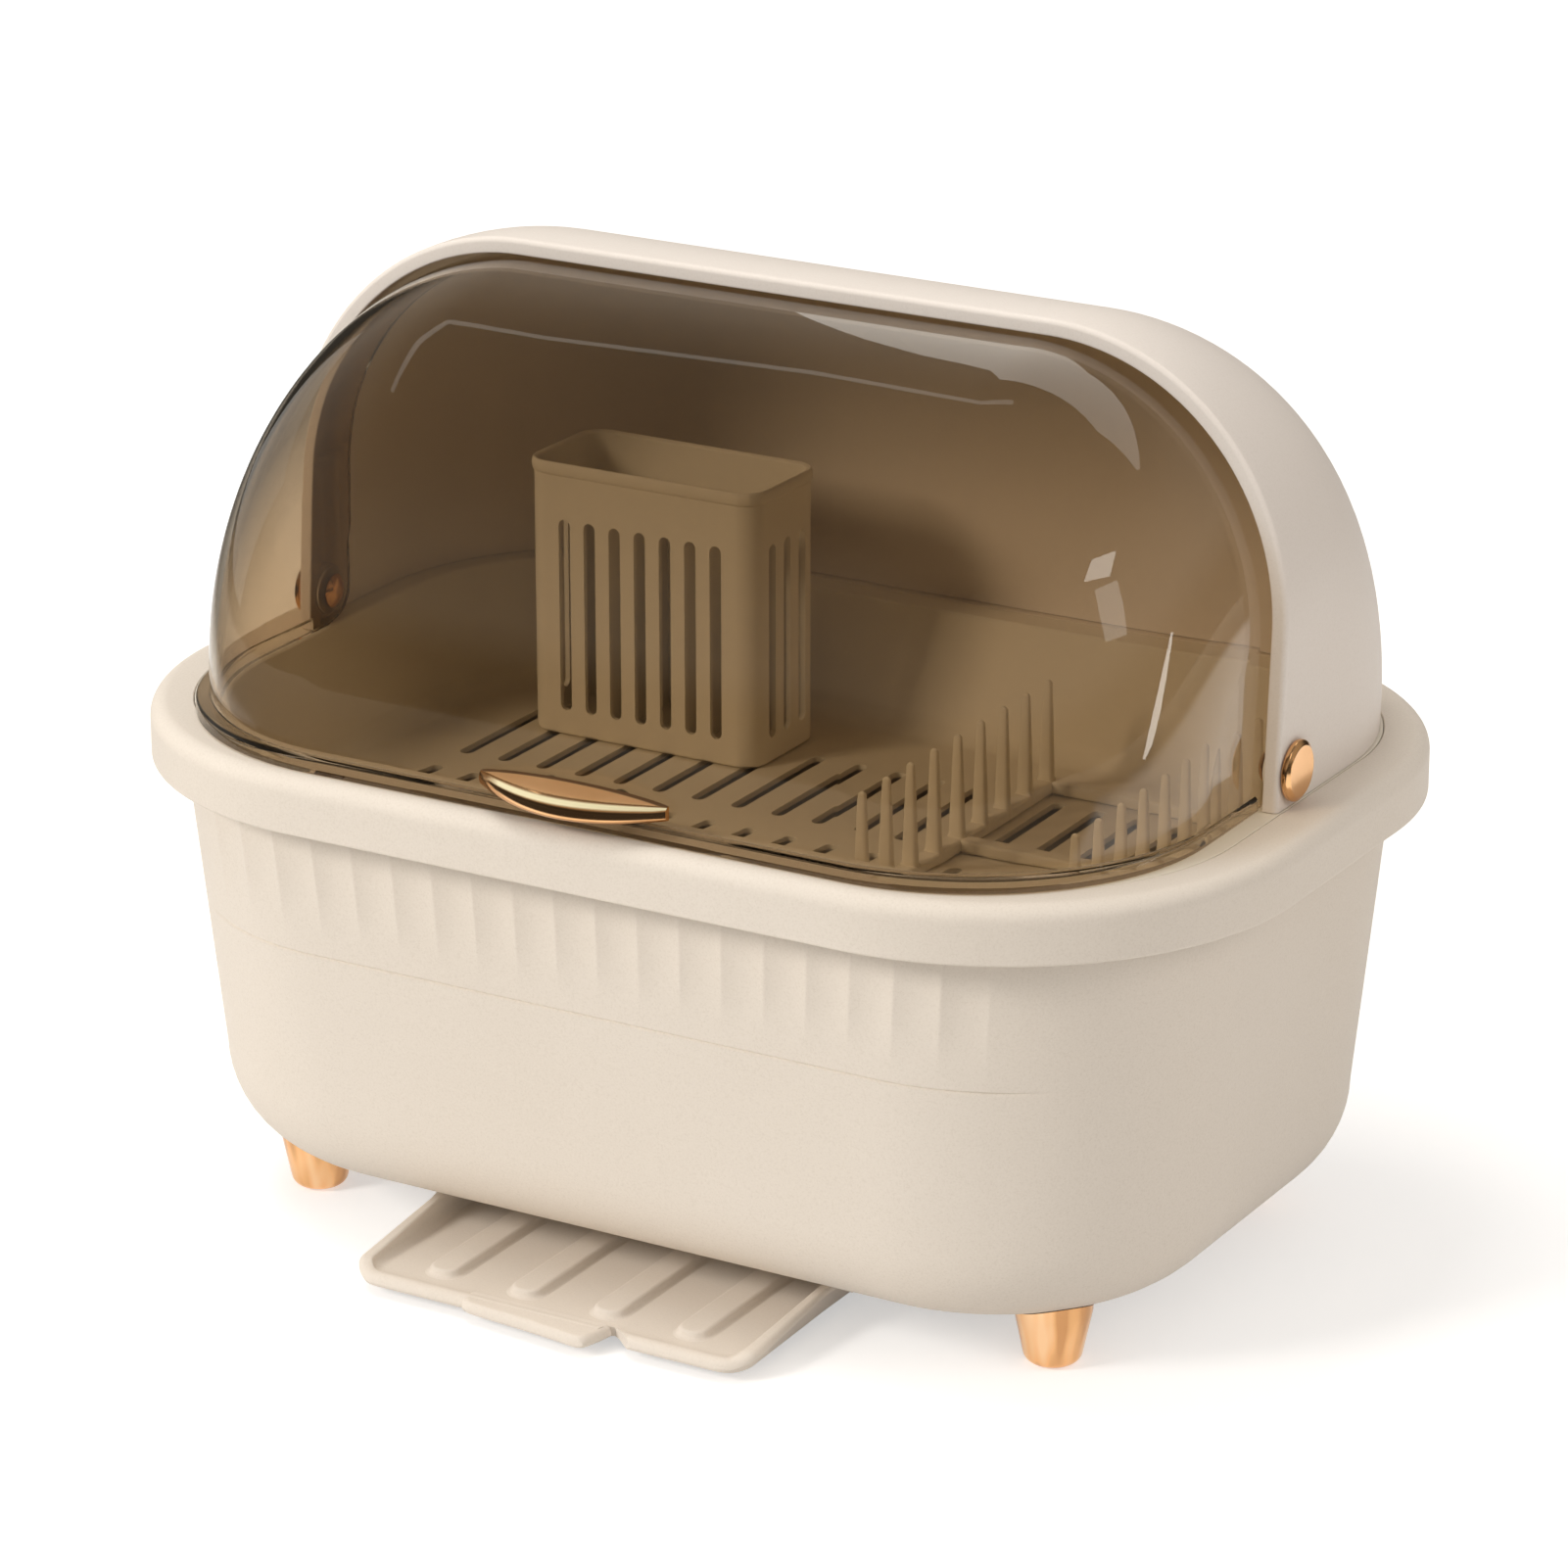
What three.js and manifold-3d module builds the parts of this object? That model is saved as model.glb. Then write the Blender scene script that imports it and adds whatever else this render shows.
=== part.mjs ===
// A covered dish rack. A tapered tub stands on four feet and holds a drain basket with a plate rack
// and a cutlery cage. A drip tray slides on two runners under the tub. A domed cover stands on top:
// its rear half is an opaque hood, and its clear front half swings up inside the hood.
//
// Millimetres, +Z up, +X to the right, front towards -Y. The origin is on the table, in the middle
// of the rack's bounding box.

import * as THREE from "three";
import { mergeVertices } from "three/addons/utils/BufferGeometryUtils.js";
import Module from "manifold-3d";

const wasm = await Module();
wasm.setup();

// Clearances
const seatGap = 0.3;
const shankGap = 0.3;
const overrun = 1;
const weldDistance = 1e-4;

// Steps of the curves
const cornerSteps = 7;
const domeSteps = 16;
const coarseTurn = Math.PI / 3;
const filletSteps = 5;
const smallSides = 8;
const discSides = 20;

// Degrees round the hinge axis, from the front over the top, between which each dome is fine
const hoodFineStart = 72;
const hoodFineEnd = 198;
const visorFineStart = -16;
const visorFineEnd = 106;

// Rim of the tub
const rimHalfWidth = 225;
const rimHalfDepth = 156.9;
const rimCornerRadius = 114;
const rimBandHeight = 21.2;
const rimEdgeRadius = 5;
const rimWall = 2.4;
const rimOverhang = 15.8;

// Wall and floor of the tub
const tubFloorHeight = 19.7;
const tubHeight = 172.4;
const tubTaper = 8.4;
const tubCornerRadius = 90;
const tubBottomRadius = 39;
const tubWall = 3;
const ledgeInset = 3.4;
const ledgeWidth = 3.8;
const ledgeDepth = 3.2;

// Fluted band on the front of the tub
const fluteCount = 19;
const flutePitch = 17;
const fluteLand = 0.5;
const fluteDepth = 1.3;
const fluteLength = 48;
const fluteSteps = 4;
const fluteCentre = -3;

// Drain hole in the tub's floor
const drainRadius = 11;
const drainSetback = 30;
const spoutWall = 2;
const spoutLength = 2.2;

// Feet
const footFrontInset = 46;
const footRearInset = 54;
const footDepthInset = 53;
const footTopRadius = 14.2;
const footToeRadius = 10;
const footToeEdge = 2;
const footFlareHeight = 20;
const footStemHeight = 34;
const footBossRadius = 8;
const footBossHeight = 12;

// Screws
const screwShankRadius = 2;
const screwHeadRadius = 4;
const screwHeadHeight = 2.2;
const footScrewBite = 9;
const handleScrewBite = 5;

// Drip tray
const trayCentre = -9;
const trayLength = 200;
const trayFrontSetback = 1.5;
const trayLift = 3.5;
const trayHeight = 12.7;
const trayFrontHeight = 5.2;
const trayWall = 2.2;
const trayFloor = 2.2;
const trayEdge = 2;
const trayCornerRadius = 13;
const trayFlange = 3.5;
const trayFlangeThickness = 2;
const trayRibSideGap = 29.6;
const trayRibPitch = 34.6;
const trayRibHalfWidth = 6.5;
const trayRibSlope = 1.5;
const trayRibHeight = 3.4;
const trayRibFrontSetback = 13;
const trayRibBackSetback = 20;
const trayLipHalfWidth = 32;
const trayLipReach = 8;
const trayLipThickness = 2.6;
const trayLipTaper = 6;

// Runners of the drip tray
const railLength = 176;
const railWeb = 2.5;
const railShelfReach = 2.4;
const railShelfThickness = 2;
const railPlateWidth = 13;
const railPlateThickness = 2.2;
const railClearance = 0.8;
const railScrewEnd = 28;
const railFootGap = 24.8;

// Drain basket
const basketWall = 2.2;
const basketFlangeWidth = 12;
const basketDepth = 47;
const basketTaper = 11;
const basketFloorRadius = 9;
const basketSlotWidth = 5.5;
const basketSlotPitch = 17;
const basketSlotSideEdge = 28;
const basketSlotFrontEdge = 33.4;
const basketSlotGap = 16;
const basketSlotRows = 2;

// Plate rack in the basket
const plateRackSideGap = 20;
const plateRackFrontGap = 40.4;
const plateRackRearGap = 20.4;
const plateRailSpread = 42;
const plateRailWidth = 7;
const plateRailHeight = 5;
const plateRailEnd = 4;
const plateBarCount = 3;
const platePegPitch = 17.5;
const platePegHeight = 44;
const platePegWidth = 6;
const platePegThickness = 4;
const platePegTipShare = 0.5;

// Cutlery cage in the basket
const cageSideGap = 35.5;
const cageRearGap = 13.4;
const cageHalfWidth = 50;
const cageHalfDepth = 24;
const cageHeight = 108;
const cageWall = 2;
const cageCornerRadius = 9;
const cageSlotWidth = 5;
const cageSlotPitch = 11;
const cageSlotFoot = 10;
const cageSlotHeight = 76;
const cageFrontSlots = 7;
const cageSideSlots = 3;
const cageCells = 3;

// Cover: place of the hinge axis and size of the hood
const coverFrontInset = 5.5;
const coverRearInset = 12.5;
const coverSideInset = 20;
const hingeLift = 12.8;
const hoodCornerRadius = 97;
const hoodWall = 2.6;
const hoodBand = 5.9;
const hoodBandDepth = 7;
const hoodFaceForward = 11.7;
const hoodFaceLean = 0.063;

// Visor
const visorSideInset = 7.8;
const visorRadialInset = 6.7;
const visorCornerRadius = 94;
const visorWall = 2.6;
const visorEarRadius = 12;
const visorLipSideReach = 1.2;
const visorLipFrontReach = 5;
const visorLipHeight = 5.4;
const visorLipChamfer = 1.6;
const visorLipCornerRadius = 90;
const visorLipClearance = 1;

// Handle on the visor
const handleX = 4;
const handleHalfLength = 38;
const handleReach = 16.5;
const handleTipReach = 1.6;
const handleHeight = 10.2;
const handleTipHeight = 3.6;
const handleDrop = 2;
const handleNoseShare = 0.55;
const handleSteps = 10;
const handleNoseSteps = 4;
const handleScrewSpread = 14;

// Hinge pin, washer and cap on each side
const pinShankRadius = 3;
const pinHeadRadius = 11;
const pinHeadThickness = 3.3;
const pinHeadEdge = 1.2;
const pinTipDepth = 1.8;
const hingeBossRadius = 10;
const washerRadius = 9;
const washerThickness = 1.1;
const capRadius = 7.5;
const capThickness = 3;
const capEdge = 1.2;

// Places that follow from the sizes above
const rimTop = tubFloorHeight + tubHeight;
const rimUnderside = rimTop - rimBandHeight;
const tubTopHalfWidth = rimHalfWidth - rimOverhang;
const tubTopHalfDepth = rimHalfDepth - rimOverhang;
const ledgeHeight = rimTop - ledgeDepth;
const basketFloorTop = rimTop - basketDepth;
const basketInset = ledgeInset + seatGap + basketFlangeWidth + basketTaper + basketFloorRadius;
const basketFloorHalfWidth = tubTopHalfWidth - basketInset;
const basketFloorHalfDepth = tubTopHalfDepth - basketInset;
const basketSlotBand = 2 * (basketFloorHalfWidth - basketSlotSideEdge);
const basketSlotColumns = 1 + Math.floor(basketSlotBand / basketSlotPitch);
const basketSlotLength = basketFloorHalfDepth - basketSlotFrontEdge - basketSlotGap / 2;
const plateRailLength = 2 * basketFloorHalfDepth - plateRackFrontGap - plateRackRearGap;
const platePegCount = 1 + Math.floor((plateRailLength - 2 * plateRailEnd) / platePegPitch);
const plateRackX = basketFloorHalfWidth - plateRackSideGap - plateRailSpread - plateRailWidth / 2;
const plateRackY = (plateRackFrontGap - plateRackRearGap) / 2;
const cageX = cageSideGap + cageHalfWidth - basketFloorHalfWidth;
const cageY = basketFloorHalfDepth - cageRearGap - cageHalfDepth;
const hingeY = (coverFrontInset - coverRearInset) / 2;
const hingeZ = rimTop + hingeLift;
const hoodHalfWidth = rimHalfWidth - coverSideInset;
const hoodRadius = rimHalfDepth - (coverFrontInset + coverRearInset) / 2;
const coverFoot = seatGap - hingeLift;
const visorHalfWidth = hoodHalfWidth - visorSideInset;
const visorRadius = hoodRadius - visorRadialInset;
const rearFootX = tubTopHalfWidth - tubTaper - footRearInset;
const railOuter = rearFootX - footTopRadius - railFootGap - Math.abs(trayCentre);
const trayHalfWidth = railOuter - railPlateWidth - railClearance - trayFlange;
const trayRibCount = Math.round((2 * (trayHalfWidth - trayRibSideGap)) / trayRibPitch) + 1;
const trayFront = -rimHalfDepth + trayFrontSetback;
const trayBack = trayFront + trayLength;
const trayTop = trayLift + trayHeight;
const railScrewSpread = railLength / 2 - railScrewEnd;
const rackFront = Math.min(trayFront - trayLipReach, hingeY - visorRadius - seatGap - handleReach);
const farAway = 4 * rimHalfWidth;

// Materials
const creamPlastic = new THREE.MeshStandardMaterial({ color: 0xe9dfd0, roughness: 0.62 });
const hoodPlastic = new THREE.MeshStandardMaterial({ color: 0xe6dbd0, roughness: 0.5 });
const innerPlastic = new THREE.MeshStandardMaterial({ color: 0xe4dac6, roughness: 0.5 });
const smokedPlastic = new THREE.MeshStandardMaterial({
  color: 0x6b5a45,
  roughness: 0.08,
  transparent: true,
  opacity: 0.45,
});
const goldPlate = new THREE.MeshStandardMaterial({ color: 0xd9a05b, roughness: 0.22, metalness: 1 });
const zincSteel = new THREE.MeshStandardMaterial({ color: 0xb9bcbe, roughness: 0.35, metalness: 1 });

// Turns a closed surface into a solid with its faces pointing out.
function toSolid(geometry) {
  const plain = geometry.index ? geometry.toNonIndexed() : geometry;
  const bare = new THREE.BufferGeometry();
  bare.setAttribute("position", plain.getAttribute("position").clone());
  const merged = mergeVertices(bare, weldDistance);
  const corners = merged.index;
  const triangles = [];
  for (let i = 0; i < corners.count; i += 3) {
    const [a, b, c] = [corners.getX(i), corners.getX(i + 1), corners.getX(i + 2)];
    if (a !== b && b !== c && c !== a) triangles.push(a, b, c);
  }
  if (signedVolume(merged.attributes.position, triangles) < 0) triangles.reverse();
  return new wasm.Manifold(
    new wasm.Mesh({
      numProp: 3,
      vertProperties: merged.attributes.position.array,
      triVerts: Uint32Array.from(triangles),
    }),
  );
}

function signedVolume(positions, triangles) {
  const [a, b, c] = [new THREE.Vector3(), new THREE.Vector3(), new THREE.Vector3()];
  let sum = 0;
  for (let i = 0; i < triangles.length; i += 3) {
    a.fromBufferAttribute(positions, triangles[i]);
    b.fromBufferAttribute(positions, triangles[i + 1]);
    c.fromBufferAttribute(positions, triangles[i + 2]);
    sum += a.dot(b.cross(c));
  }
  return sum;
}

function toGeometry(solid) {
  const { numProp, vertProperties, triVerts } = solid.getMesh();
  const positions = new Float32Array((vertProperties.length / numProp) * 3);
  for (let i = 0; i < positions.length / 3; i++) {
    positions.set(vertProperties.subarray(i * numProp, i * numProp + 3), i * 3);
  }
  const geometry = new THREE.BufferGeometry();
  geometry.setAttribute("position", new THREE.BufferAttribute(positions, 3));
  geometry.setIndex(new THREE.BufferAttribute(triVerts, 1));
  return geometry;
}

function place(parent, name, solid, material) {
  const mesh = new THREE.Mesh(toGeometry(solid), material);
  mesh.name = name;
  parent.add(mesh);
  return mesh;
}

function joined(solids) {
  return solids.reduce((whole, solid) => whole.add(solid));
}

// A surface through rows of points. The rows close on each other when loop is true, and otherwise
// the first and last rows are filled with flat faces.
function skin(rows, loop = false) {
  const positions = [];
  const face = (...points) => points.forEach((point) => positions.push(...point));
  const steps = loop ? rows.length : rows.length - 1;
  for (let i = 0; i < steps; i++) {
    const row = rows[i];
    const next = rows[(i + 1) % rows.length];
    for (let j = 0; j < row.length; j++) {
      const k = (j + 1) % row.length;
      face(row[j], row[k], next[k]);
      face(row[j], next[k], next[j]);
    }
  }
  if (!loop) {
    const first = rows[0];
    const last = rows[rows.length - 1];
    for (let j = 1; j < first.length - 1; j++) {
      face(first[0], first[j + 1], first[j]);
      face(last[0], last[j], last[j + 1]);
    }
  }
  const geometry = new THREE.BufferGeometry();
  geometry.setAttribute("position", new THREE.Float32BufferAttribute(positions, 3));
  return geometry;
}

// A level row of points round a rectangle with rounded corners.
function roundedRow(halfWidth, halfDepth, radius, z, centreX = 0, centreY = 0) {
  const row = [];
  const signs = [
    [1, 1],
    [-1, 1],
    [-1, -1],
    [1, -1],
  ];
  signs.forEach(([sx, sy], corner) => {
    for (let i = 0; i <= cornerSteps; i++) {
      const turn = ((corner + i / cornerSteps) * Math.PI) / 2;
      row.push([
        centreX + sx * (halfWidth - radius) + radius * Math.cos(turn),
        centreY + sy * (halfDepth - radius) + radius * Math.sin(turn),
        z,
      ]);
    }
  });
  return row;
}

function box(low, high) {
  const size = high.map((value, axis) => value - low[axis]);
  const middle = high.map((value, axis) => (value + low[axis]) / 2);
  return toSolid(new THREE.BoxGeometry(...size).translate(...middle));
}

// A rod between two places along one axis. The centre gives the other two coordinates.
function rodX(radius, fromX, toX, y, z, sides = smallSides) {
  const rod = new THREE.CylinderGeometry(radius, radius, Math.abs(toX - fromX), sides);
  return toSolid(rod.rotateZ(Math.PI / 2).translate((fromX + toX) / 2, y, z));
}

function rodY(radius, fromY, toY, x, z, sides = smallSides) {
  const rod = new THREE.CylinderGeometry(radius, radius, Math.abs(toY - fromY), sides);
  return toSolid(rod.translate(x, (fromY + toY) / 2, z));
}

function rodZ(radius, fromZ, toZ, x, y, sides = smallSides) {
  const rod = new THREE.CylinderGeometry(radius, radius, Math.abs(toZ - fromZ), sides);
  return toSolid(rod.rotateX(Math.PI / 2).translate(x, y, (fromZ + toZ) / 2));
}

// A turned piece: pairs of radius and height, starting and ending on the axis, which points up.
function turned(profile, sides) {
  const points = profile.map(([radius, height]) => new THREE.Vector2(radius, height));
  return new THREE.LatheGeometry(points, sides).rotateX(Math.PI / 2);
}

// A screw with its head up, its seat at height zero and its tip at minus length.
function screwGeometry(length) {
  const headEdge = screwHeadHeight / 3;
  return turned(
    [
      [0, -length],
      [screwShankRadius, -length],
      [screwShankRadius, 0],
      [screwHeadRadius, 0],
      [screwHeadRadius, screwHeadHeight - headEdge],
      [screwHeadRadius - headEdge, screwHeadHeight],
      [0, screwHeadHeight],
    ],
    smallSides,
  );
}

// Half width and depth of the tub's outer face at a height above its bottom curve.
function tubHalf(z, topHalf) {
  const curveTop = tubFloorHeight + tubBottomRadius;
  return topHalf - (tubTaper * (rimUnderside - z)) / (rimUnderside - curveTop);
}

function tubRow(z, inset) {
  const radius = tubCornerRadius - inset;
  return roundedRow(tubHalf(z, tubTopHalfWidth) - inset, tubHalf(z, tubTopHalfDepth) - inset, radius, z);
}

// Rows from the middle of the bottom up round the bottom curve, on a face that lies inset from the
// tub's outer face.
function tubBottomRows(inset) {
  const curve = tubBottomRadius - inset;
  const curveTop = tubFloorHeight + tubBottomRadius;
  const rows = [];
  for (let i = 0; i <= filletSteps; i++) {
    const turn = (i / filletSteps) * (Math.PI / 2);
    const draw = inset + curve * (1 - Math.sin(turn));
    rows.push(
      roundedRow(
        tubHalf(curveTop, tubTopHalfWidth) - draw,
        tubHalf(curveTop, tubTopHalfDepth) - draw,
        tubCornerRadius - draw,
        curveTop - curve * Math.cos(turn),
      ),
    );
  }
  return rows;
}

// The tub as a full block up to the rim's underside, grown outwards by a clearance.
function tubBlock(grow) {
  return toSolid(skin([...tubBottomRows(-grow), tubRow(rimUnderside, -grow)]));
}

function rimRow(inset, z) {
  return roundedRow(rimHalfWidth - inset, rimHalfDepth - inset, rimCornerRadius - inset, z);
}

function seatRow(inset, z) {
  const draw = ledgeInset + inset;
  return roundedRow(tubTopHalfWidth - draw, tubTopHalfDepth - draw, tubCornerRadius - draw, z);
}

// Shallow hollows side by side under the rim, on the straight front and round both front corners.
function fluteCutters() {
  const straight = tubTopHalfWidth - tubCornerRadius;
  const lean = Math.atan2(tubTaper, rimUnderside - tubFloorHeight - tubBottomRadius);
  const halfWidth = (flutePitch - fluteLand) / 2;
  const arcRadius = (halfWidth ** 2 + fluteDepth ** 2) / (2 * fluteDepth);
  const cutters = [];
  for (let i = 0; i < fluteCount; i++) {
    const along = fluteCentre + (i - (fluteCount - 1) / 2) * flutePitch;
    const beyond = Math.max(Math.abs(along) - straight, 0);
    const turn = Math.sign(along) * (beyond / tubCornerRadius);
    const shape = new THREE.Shape();
    shape.moveTo(-halfWidth, overrun);
    for (let j = 0; j <= fluteSteps; j++) {
      const u = halfWidth * ((2 * j) / fluteSteps - 1);
      shape.lineTo(u, arcRadius - fluteDepth - Math.sqrt(arcRadius ** 2 - u ** 2));
    }
    shape.lineTo(halfWidth, overrun);
    const cutter = new THREE.ExtrudeGeometry(shape, { depth: fluteLength, bevelEnabled: false });
    cutter.scale(1, -1, 1);
    cutter.translate(0, 0, -fluteLength);
    cutter.rotateX(lean);
    cutter.translate(0, -tubCornerRadius, rimUnderside - seatGap);
    cutter.rotateZ(turn);
    cutter.translate(
      Math.sign(along) * Math.min(Math.abs(along), straight),
      tubCornerRadius - tubTopHalfDepth,
      0,
    );
    cutters.push(toSolid(cutter));
  }
  return joined(cutters);
}

function footPlaces() {
  const frontX = tubTopHalfWidth - tubTaper - footFrontInset;
  const y = tubTopHalfDepth - tubTaper - footDepthInset;
  return [
    ["front_left", -frontX, -y],
    ["front_right", frontX, -y],
    ["rear_left", -rearFootX, y],
    ["rear_right", rearFootX, y],
  ];
}

function railScrewPlaces() {
  const x = railWebInner() + railPlateWidth / 2 + railWeb / 2;
  return [-1, 1].flatMap((side) =>
    [-1, 1].map((end) => [side, end, trayCentre + side * x, end * railScrewSpread]),
  );
}

function makeTub() {
  const edgeRows = [];
  for (let i = 0; i <= filletSteps; i++) {
    const turn = (i / filletSteps) * (Math.PI / 2);
    const draw = rimEdgeRadius * (1 - Math.cos(turn));
    edgeRows.push(rimRow(draw, rimTop - rimEdgeRadius * (1 - Math.sin(turn))));
  }
  const rows = [
    ...tubBottomRows(0),
    tubRow(rimTop - rimWall, 0),
    rimRow(rimWall, rimTop - rimWall),
    rimRow(rimWall, rimUnderside),
    rimRow(0, rimUnderside),
    ...edgeRows,
    seatRow(0, rimTop),
    seatRow(0, ledgeHeight),
    seatRow(ledgeWidth, ledgeHeight),
    ...tubBottomRows(tubWall).reverse(),
  ];
  const bosses = footPlaces().map(([, x, y]) => {
    const top = tubFloorHeight + footBossHeight;
    return rodZ(footBossRadius, tubFloorHeight - overrun, top, x, y).intersect(tubBlock(0));
  });
  const spout = rodZ(
    drainRadius + spoutWall,
    tubFloorHeight - spoutLength,
    tubFloorHeight + tubWall / 2,
    0,
    -drainSetback,
    discSides,
  );
  const holeRadius = screwShankRadius + shankGap;
  const holeTop = tubFloorHeight + footBossHeight + overrun;
  const holes = [...footPlaces(), ...railScrewPlaces().map(([, , x, y]) => ["rail", x, y])].map(
    ([, x, y]) => rodZ(holeRadius, tubFloorHeight - overrun, holeTop, x, y),
  );
  const drain = rodZ(
    drainRadius,
    tubFloorHeight - spoutLength - overrun,
    tubFloorHeight + tubWall + overrun,
    0,
    -drainSetback,
    discSides,
  );
  return toSolid(skin(rows))
    .add(joined([...bosses, spout]))
    .subtract(joined([...holes, drain, fluteCutters()]));
}

// A foot at its place under the tub, with its top cut to the tub's bottom curve.
function makeFoot(x, y) {
  const profile = [
    [0, 0],
    [footToeRadius - footToeEdge, 0],
    [footToeRadius, footToeEdge],
    [footTopRadius, footFlareHeight],
    [footTopRadius, footStemHeight],
    [0, footStemHeight],
  ];
  const body = toSolid(turned(profile, discSides).translate(x, y, 0));
  const tip = tubFloorHeight - footScrewBite - shankGap;
  const hole = rodZ(screwShankRadius + shankGap, tip, footStemHeight + overrun, x, y);
  return body.subtract(tubBlock(seatGap)).subtract(hole);
}

function makeFootScrew() {
  return toSolid(screwGeometry(footBossHeight + footScrewBite + seatGap));
}

function makeRailScrew() {
  return toSolid(screwGeometry(tubWall + 2 * seatGap + railPlateThickness));
}

function trayRow(inset, z) {
  const middle = (trayFront + trayBack) / 2;
  const radius = trayCornerRadius - inset;
  return roundedRow(trayHalfWidth - inset, trayLength / 2 - inset, radius, z, 0, middle);
}

function makeTray() {
  const floorTop = trayLift + trayFloor;
  const outerRows = [
    trayRow(trayEdge, trayLift),
    trayRow(0, trayLift + trayEdge),
    trayRow(0, trayTop),
  ];
  const shell = toSolid(skin(outerRows));
  const flanges = [-1, 1].map((side) => {
    const reach = [side * (trayHalfWidth - trayWall / 2), side * (trayHalfWidth + trayFlange)];
    return box(
      [Math.min(...reach), trayFront + trayCornerRadius, trayTop - trayFlangeThickness],
      [Math.max(...reach), trayBack - trayCornerRadius, trayTop],
    );
  });
  const hollow = toSolid(skin([trayRow(trayWall, floorTop), trayRow(trayWall, trayTop + overrun)]));
  const openWidth = trayHalfWidth - trayCornerRadius;
  const pourCut = box(
    [-openWidth, trayFront - overrun, trayLift + trayFrontHeight],
    [openWidth, trayFront + trayWall + overrun, trayTop + overrun],
  );
  const ribs = [];
  for (let i = 0; i < trayRibCount; i++) {
    ribs.push(trayRib((i - (trayRibCount - 1) / 2) * trayRibPitch));
  }
  return joined([shell, ...flanges])
    .subtract(joined([hollow, pourCut]))
    .add(joined([...ribs, trayLip()]));
}

function trayRib(x) {
  const low = trayLift + trayFloor / 2;
  const high = trayLift + trayFloor + trayRibHeight;
  const row = (inset, z) => {
    const halfWidth = trayRibHalfWidth - inset;
    const front = trayFront + trayRibFrontSetback + inset;
    const back = trayBack - trayRibBackSetback - inset;
    return [
      [x - halfWidth, front + halfWidth / 2, z],
      [x - halfWidth / 2, front, z],
      [x + halfWidth / 2, front, z],
      [x + halfWidth, front + halfWidth / 2, z],
      [x + halfWidth, back, z],
      [x - halfWidth, back, z],
    ];
  };
  return toSolid(skin([row(0, low), row(trayRibSlope, high)]));
}

function trayLip() {
  const top = trayLift + trayFrontHeight;
  const row = (z) => [
    [-trayLipHalfWidth, trayFront + trayWall / 2, z],
    [-trayLipHalfWidth, trayFront, z],
    [-trayLipHalfWidth + trayLipTaper, trayFront - trayLipReach, z],
    [trayLipHalfWidth - trayLipTaper, trayFront - trayLipReach, z],
    [trayLipHalfWidth, trayFront, z],
    [trayLipHalfWidth, trayFront + trayWall / 2, z],
  ];
  return toSolid(skin([row(top - trayLipThickness), row(top)]));
}

function railWebInner() {
  return trayHalfWidth + trayFlange + railClearance;
}

// One runner. Side is 1 for the right-hand one and -1 for the left-hand one.
function makeRail(side) {
  const inner = railWebInner();
  const shelfTop = trayTop - trayFlangeThickness - railClearance;
  const plateTop = tubFloorHeight - seatGap;
  const bar = (fromX, toX, low, high) => {
    const ends = [side * fromX, side * toX];
    return box(
      [Math.min(...ends), -railLength / 2, low],
      [Math.max(...ends), railLength / 2, high],
    );
  };
  const web = bar(inner, inner + railWeb, shelfTop - railShelfThickness, plateTop);
  const shelf = bar(inner - railShelfReach, inner + railWeb / 2, shelfTop - railShelfThickness, shelfTop);
  const plate = bar(inner, inner + railPlateWidth, plateTop - railPlateThickness, plateTop);
  const holes = railScrewPlaces()
    .filter(([screwSide]) => screwSide === side)
    .map(([, , x, y]) => {
      const radius = screwShankRadius + shankGap;
      return rodZ(radius, plateTop - railPlateThickness - overrun, plateTop + overrun, x - trayCentre, y);
    });
  return joined([web, shelf, plate]).subtract(joined(holes));
}

// Rows of the drain basket's inner face, grown outwards by the wall for its outer face.
function basketRows(grow) {
  const topInset = seatGap + basketFlangeWidth - grow;
  const curve = basketFloorRadius + grow;
  const rows = [];
  for (let i = 0; i <= filletSteps; i++) {
    const turn = (i / filletSteps) * (Math.PI / 2);
    const draw = topInset + basketTaper + curve * (1 - Math.sin(turn));
    rows.push(seatRow(draw, basketFloorTop + basketFloorRadius - curve * Math.cos(turn)));
  }
  return rows;
}

function slotGrid(columns, rows, pitch, length, gap, width, low, high) {
  const slots = [];
  for (let column = 0; column < columns; column++) {
    for (let row = 0; row < rows; row++) {
      const x = (column - (columns - 1) / 2) * pitch;
      const y = (row - (rows - 1) / 2) * (length + gap);
      slots.push(box([x - width / 2, y - length / 2, low], [x + width / 2, y + length / 2, high]));
    }
  }
  return joined(slots);
}

function makeBasket() {
  const flangeUnderside = ledgeHeight + seatGap;
  const rows = [
    ...basketRows(basketWall),
    seatRow(seatGap + basketFlangeWidth - basketWall, flangeUnderside),
    seatRow(seatGap, flangeUnderside),
    seatRow(seatGap, rimTop),
    seatRow(seatGap + basketFlangeWidth, rimTop),
    ...basketRows(0).reverse(),
  ];
  const slots = slotGrid(
    basketSlotColumns,
    basketSlotRows,
    basketSlotPitch,
    basketSlotLength,
    basketSlotGap,
    basketSlotWidth,
    basketFloorTop - basketWall - overrun,
    basketFloorTop + overrun,
  );
  return toSolid(skin(rows)).subtract(slots);
}

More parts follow.
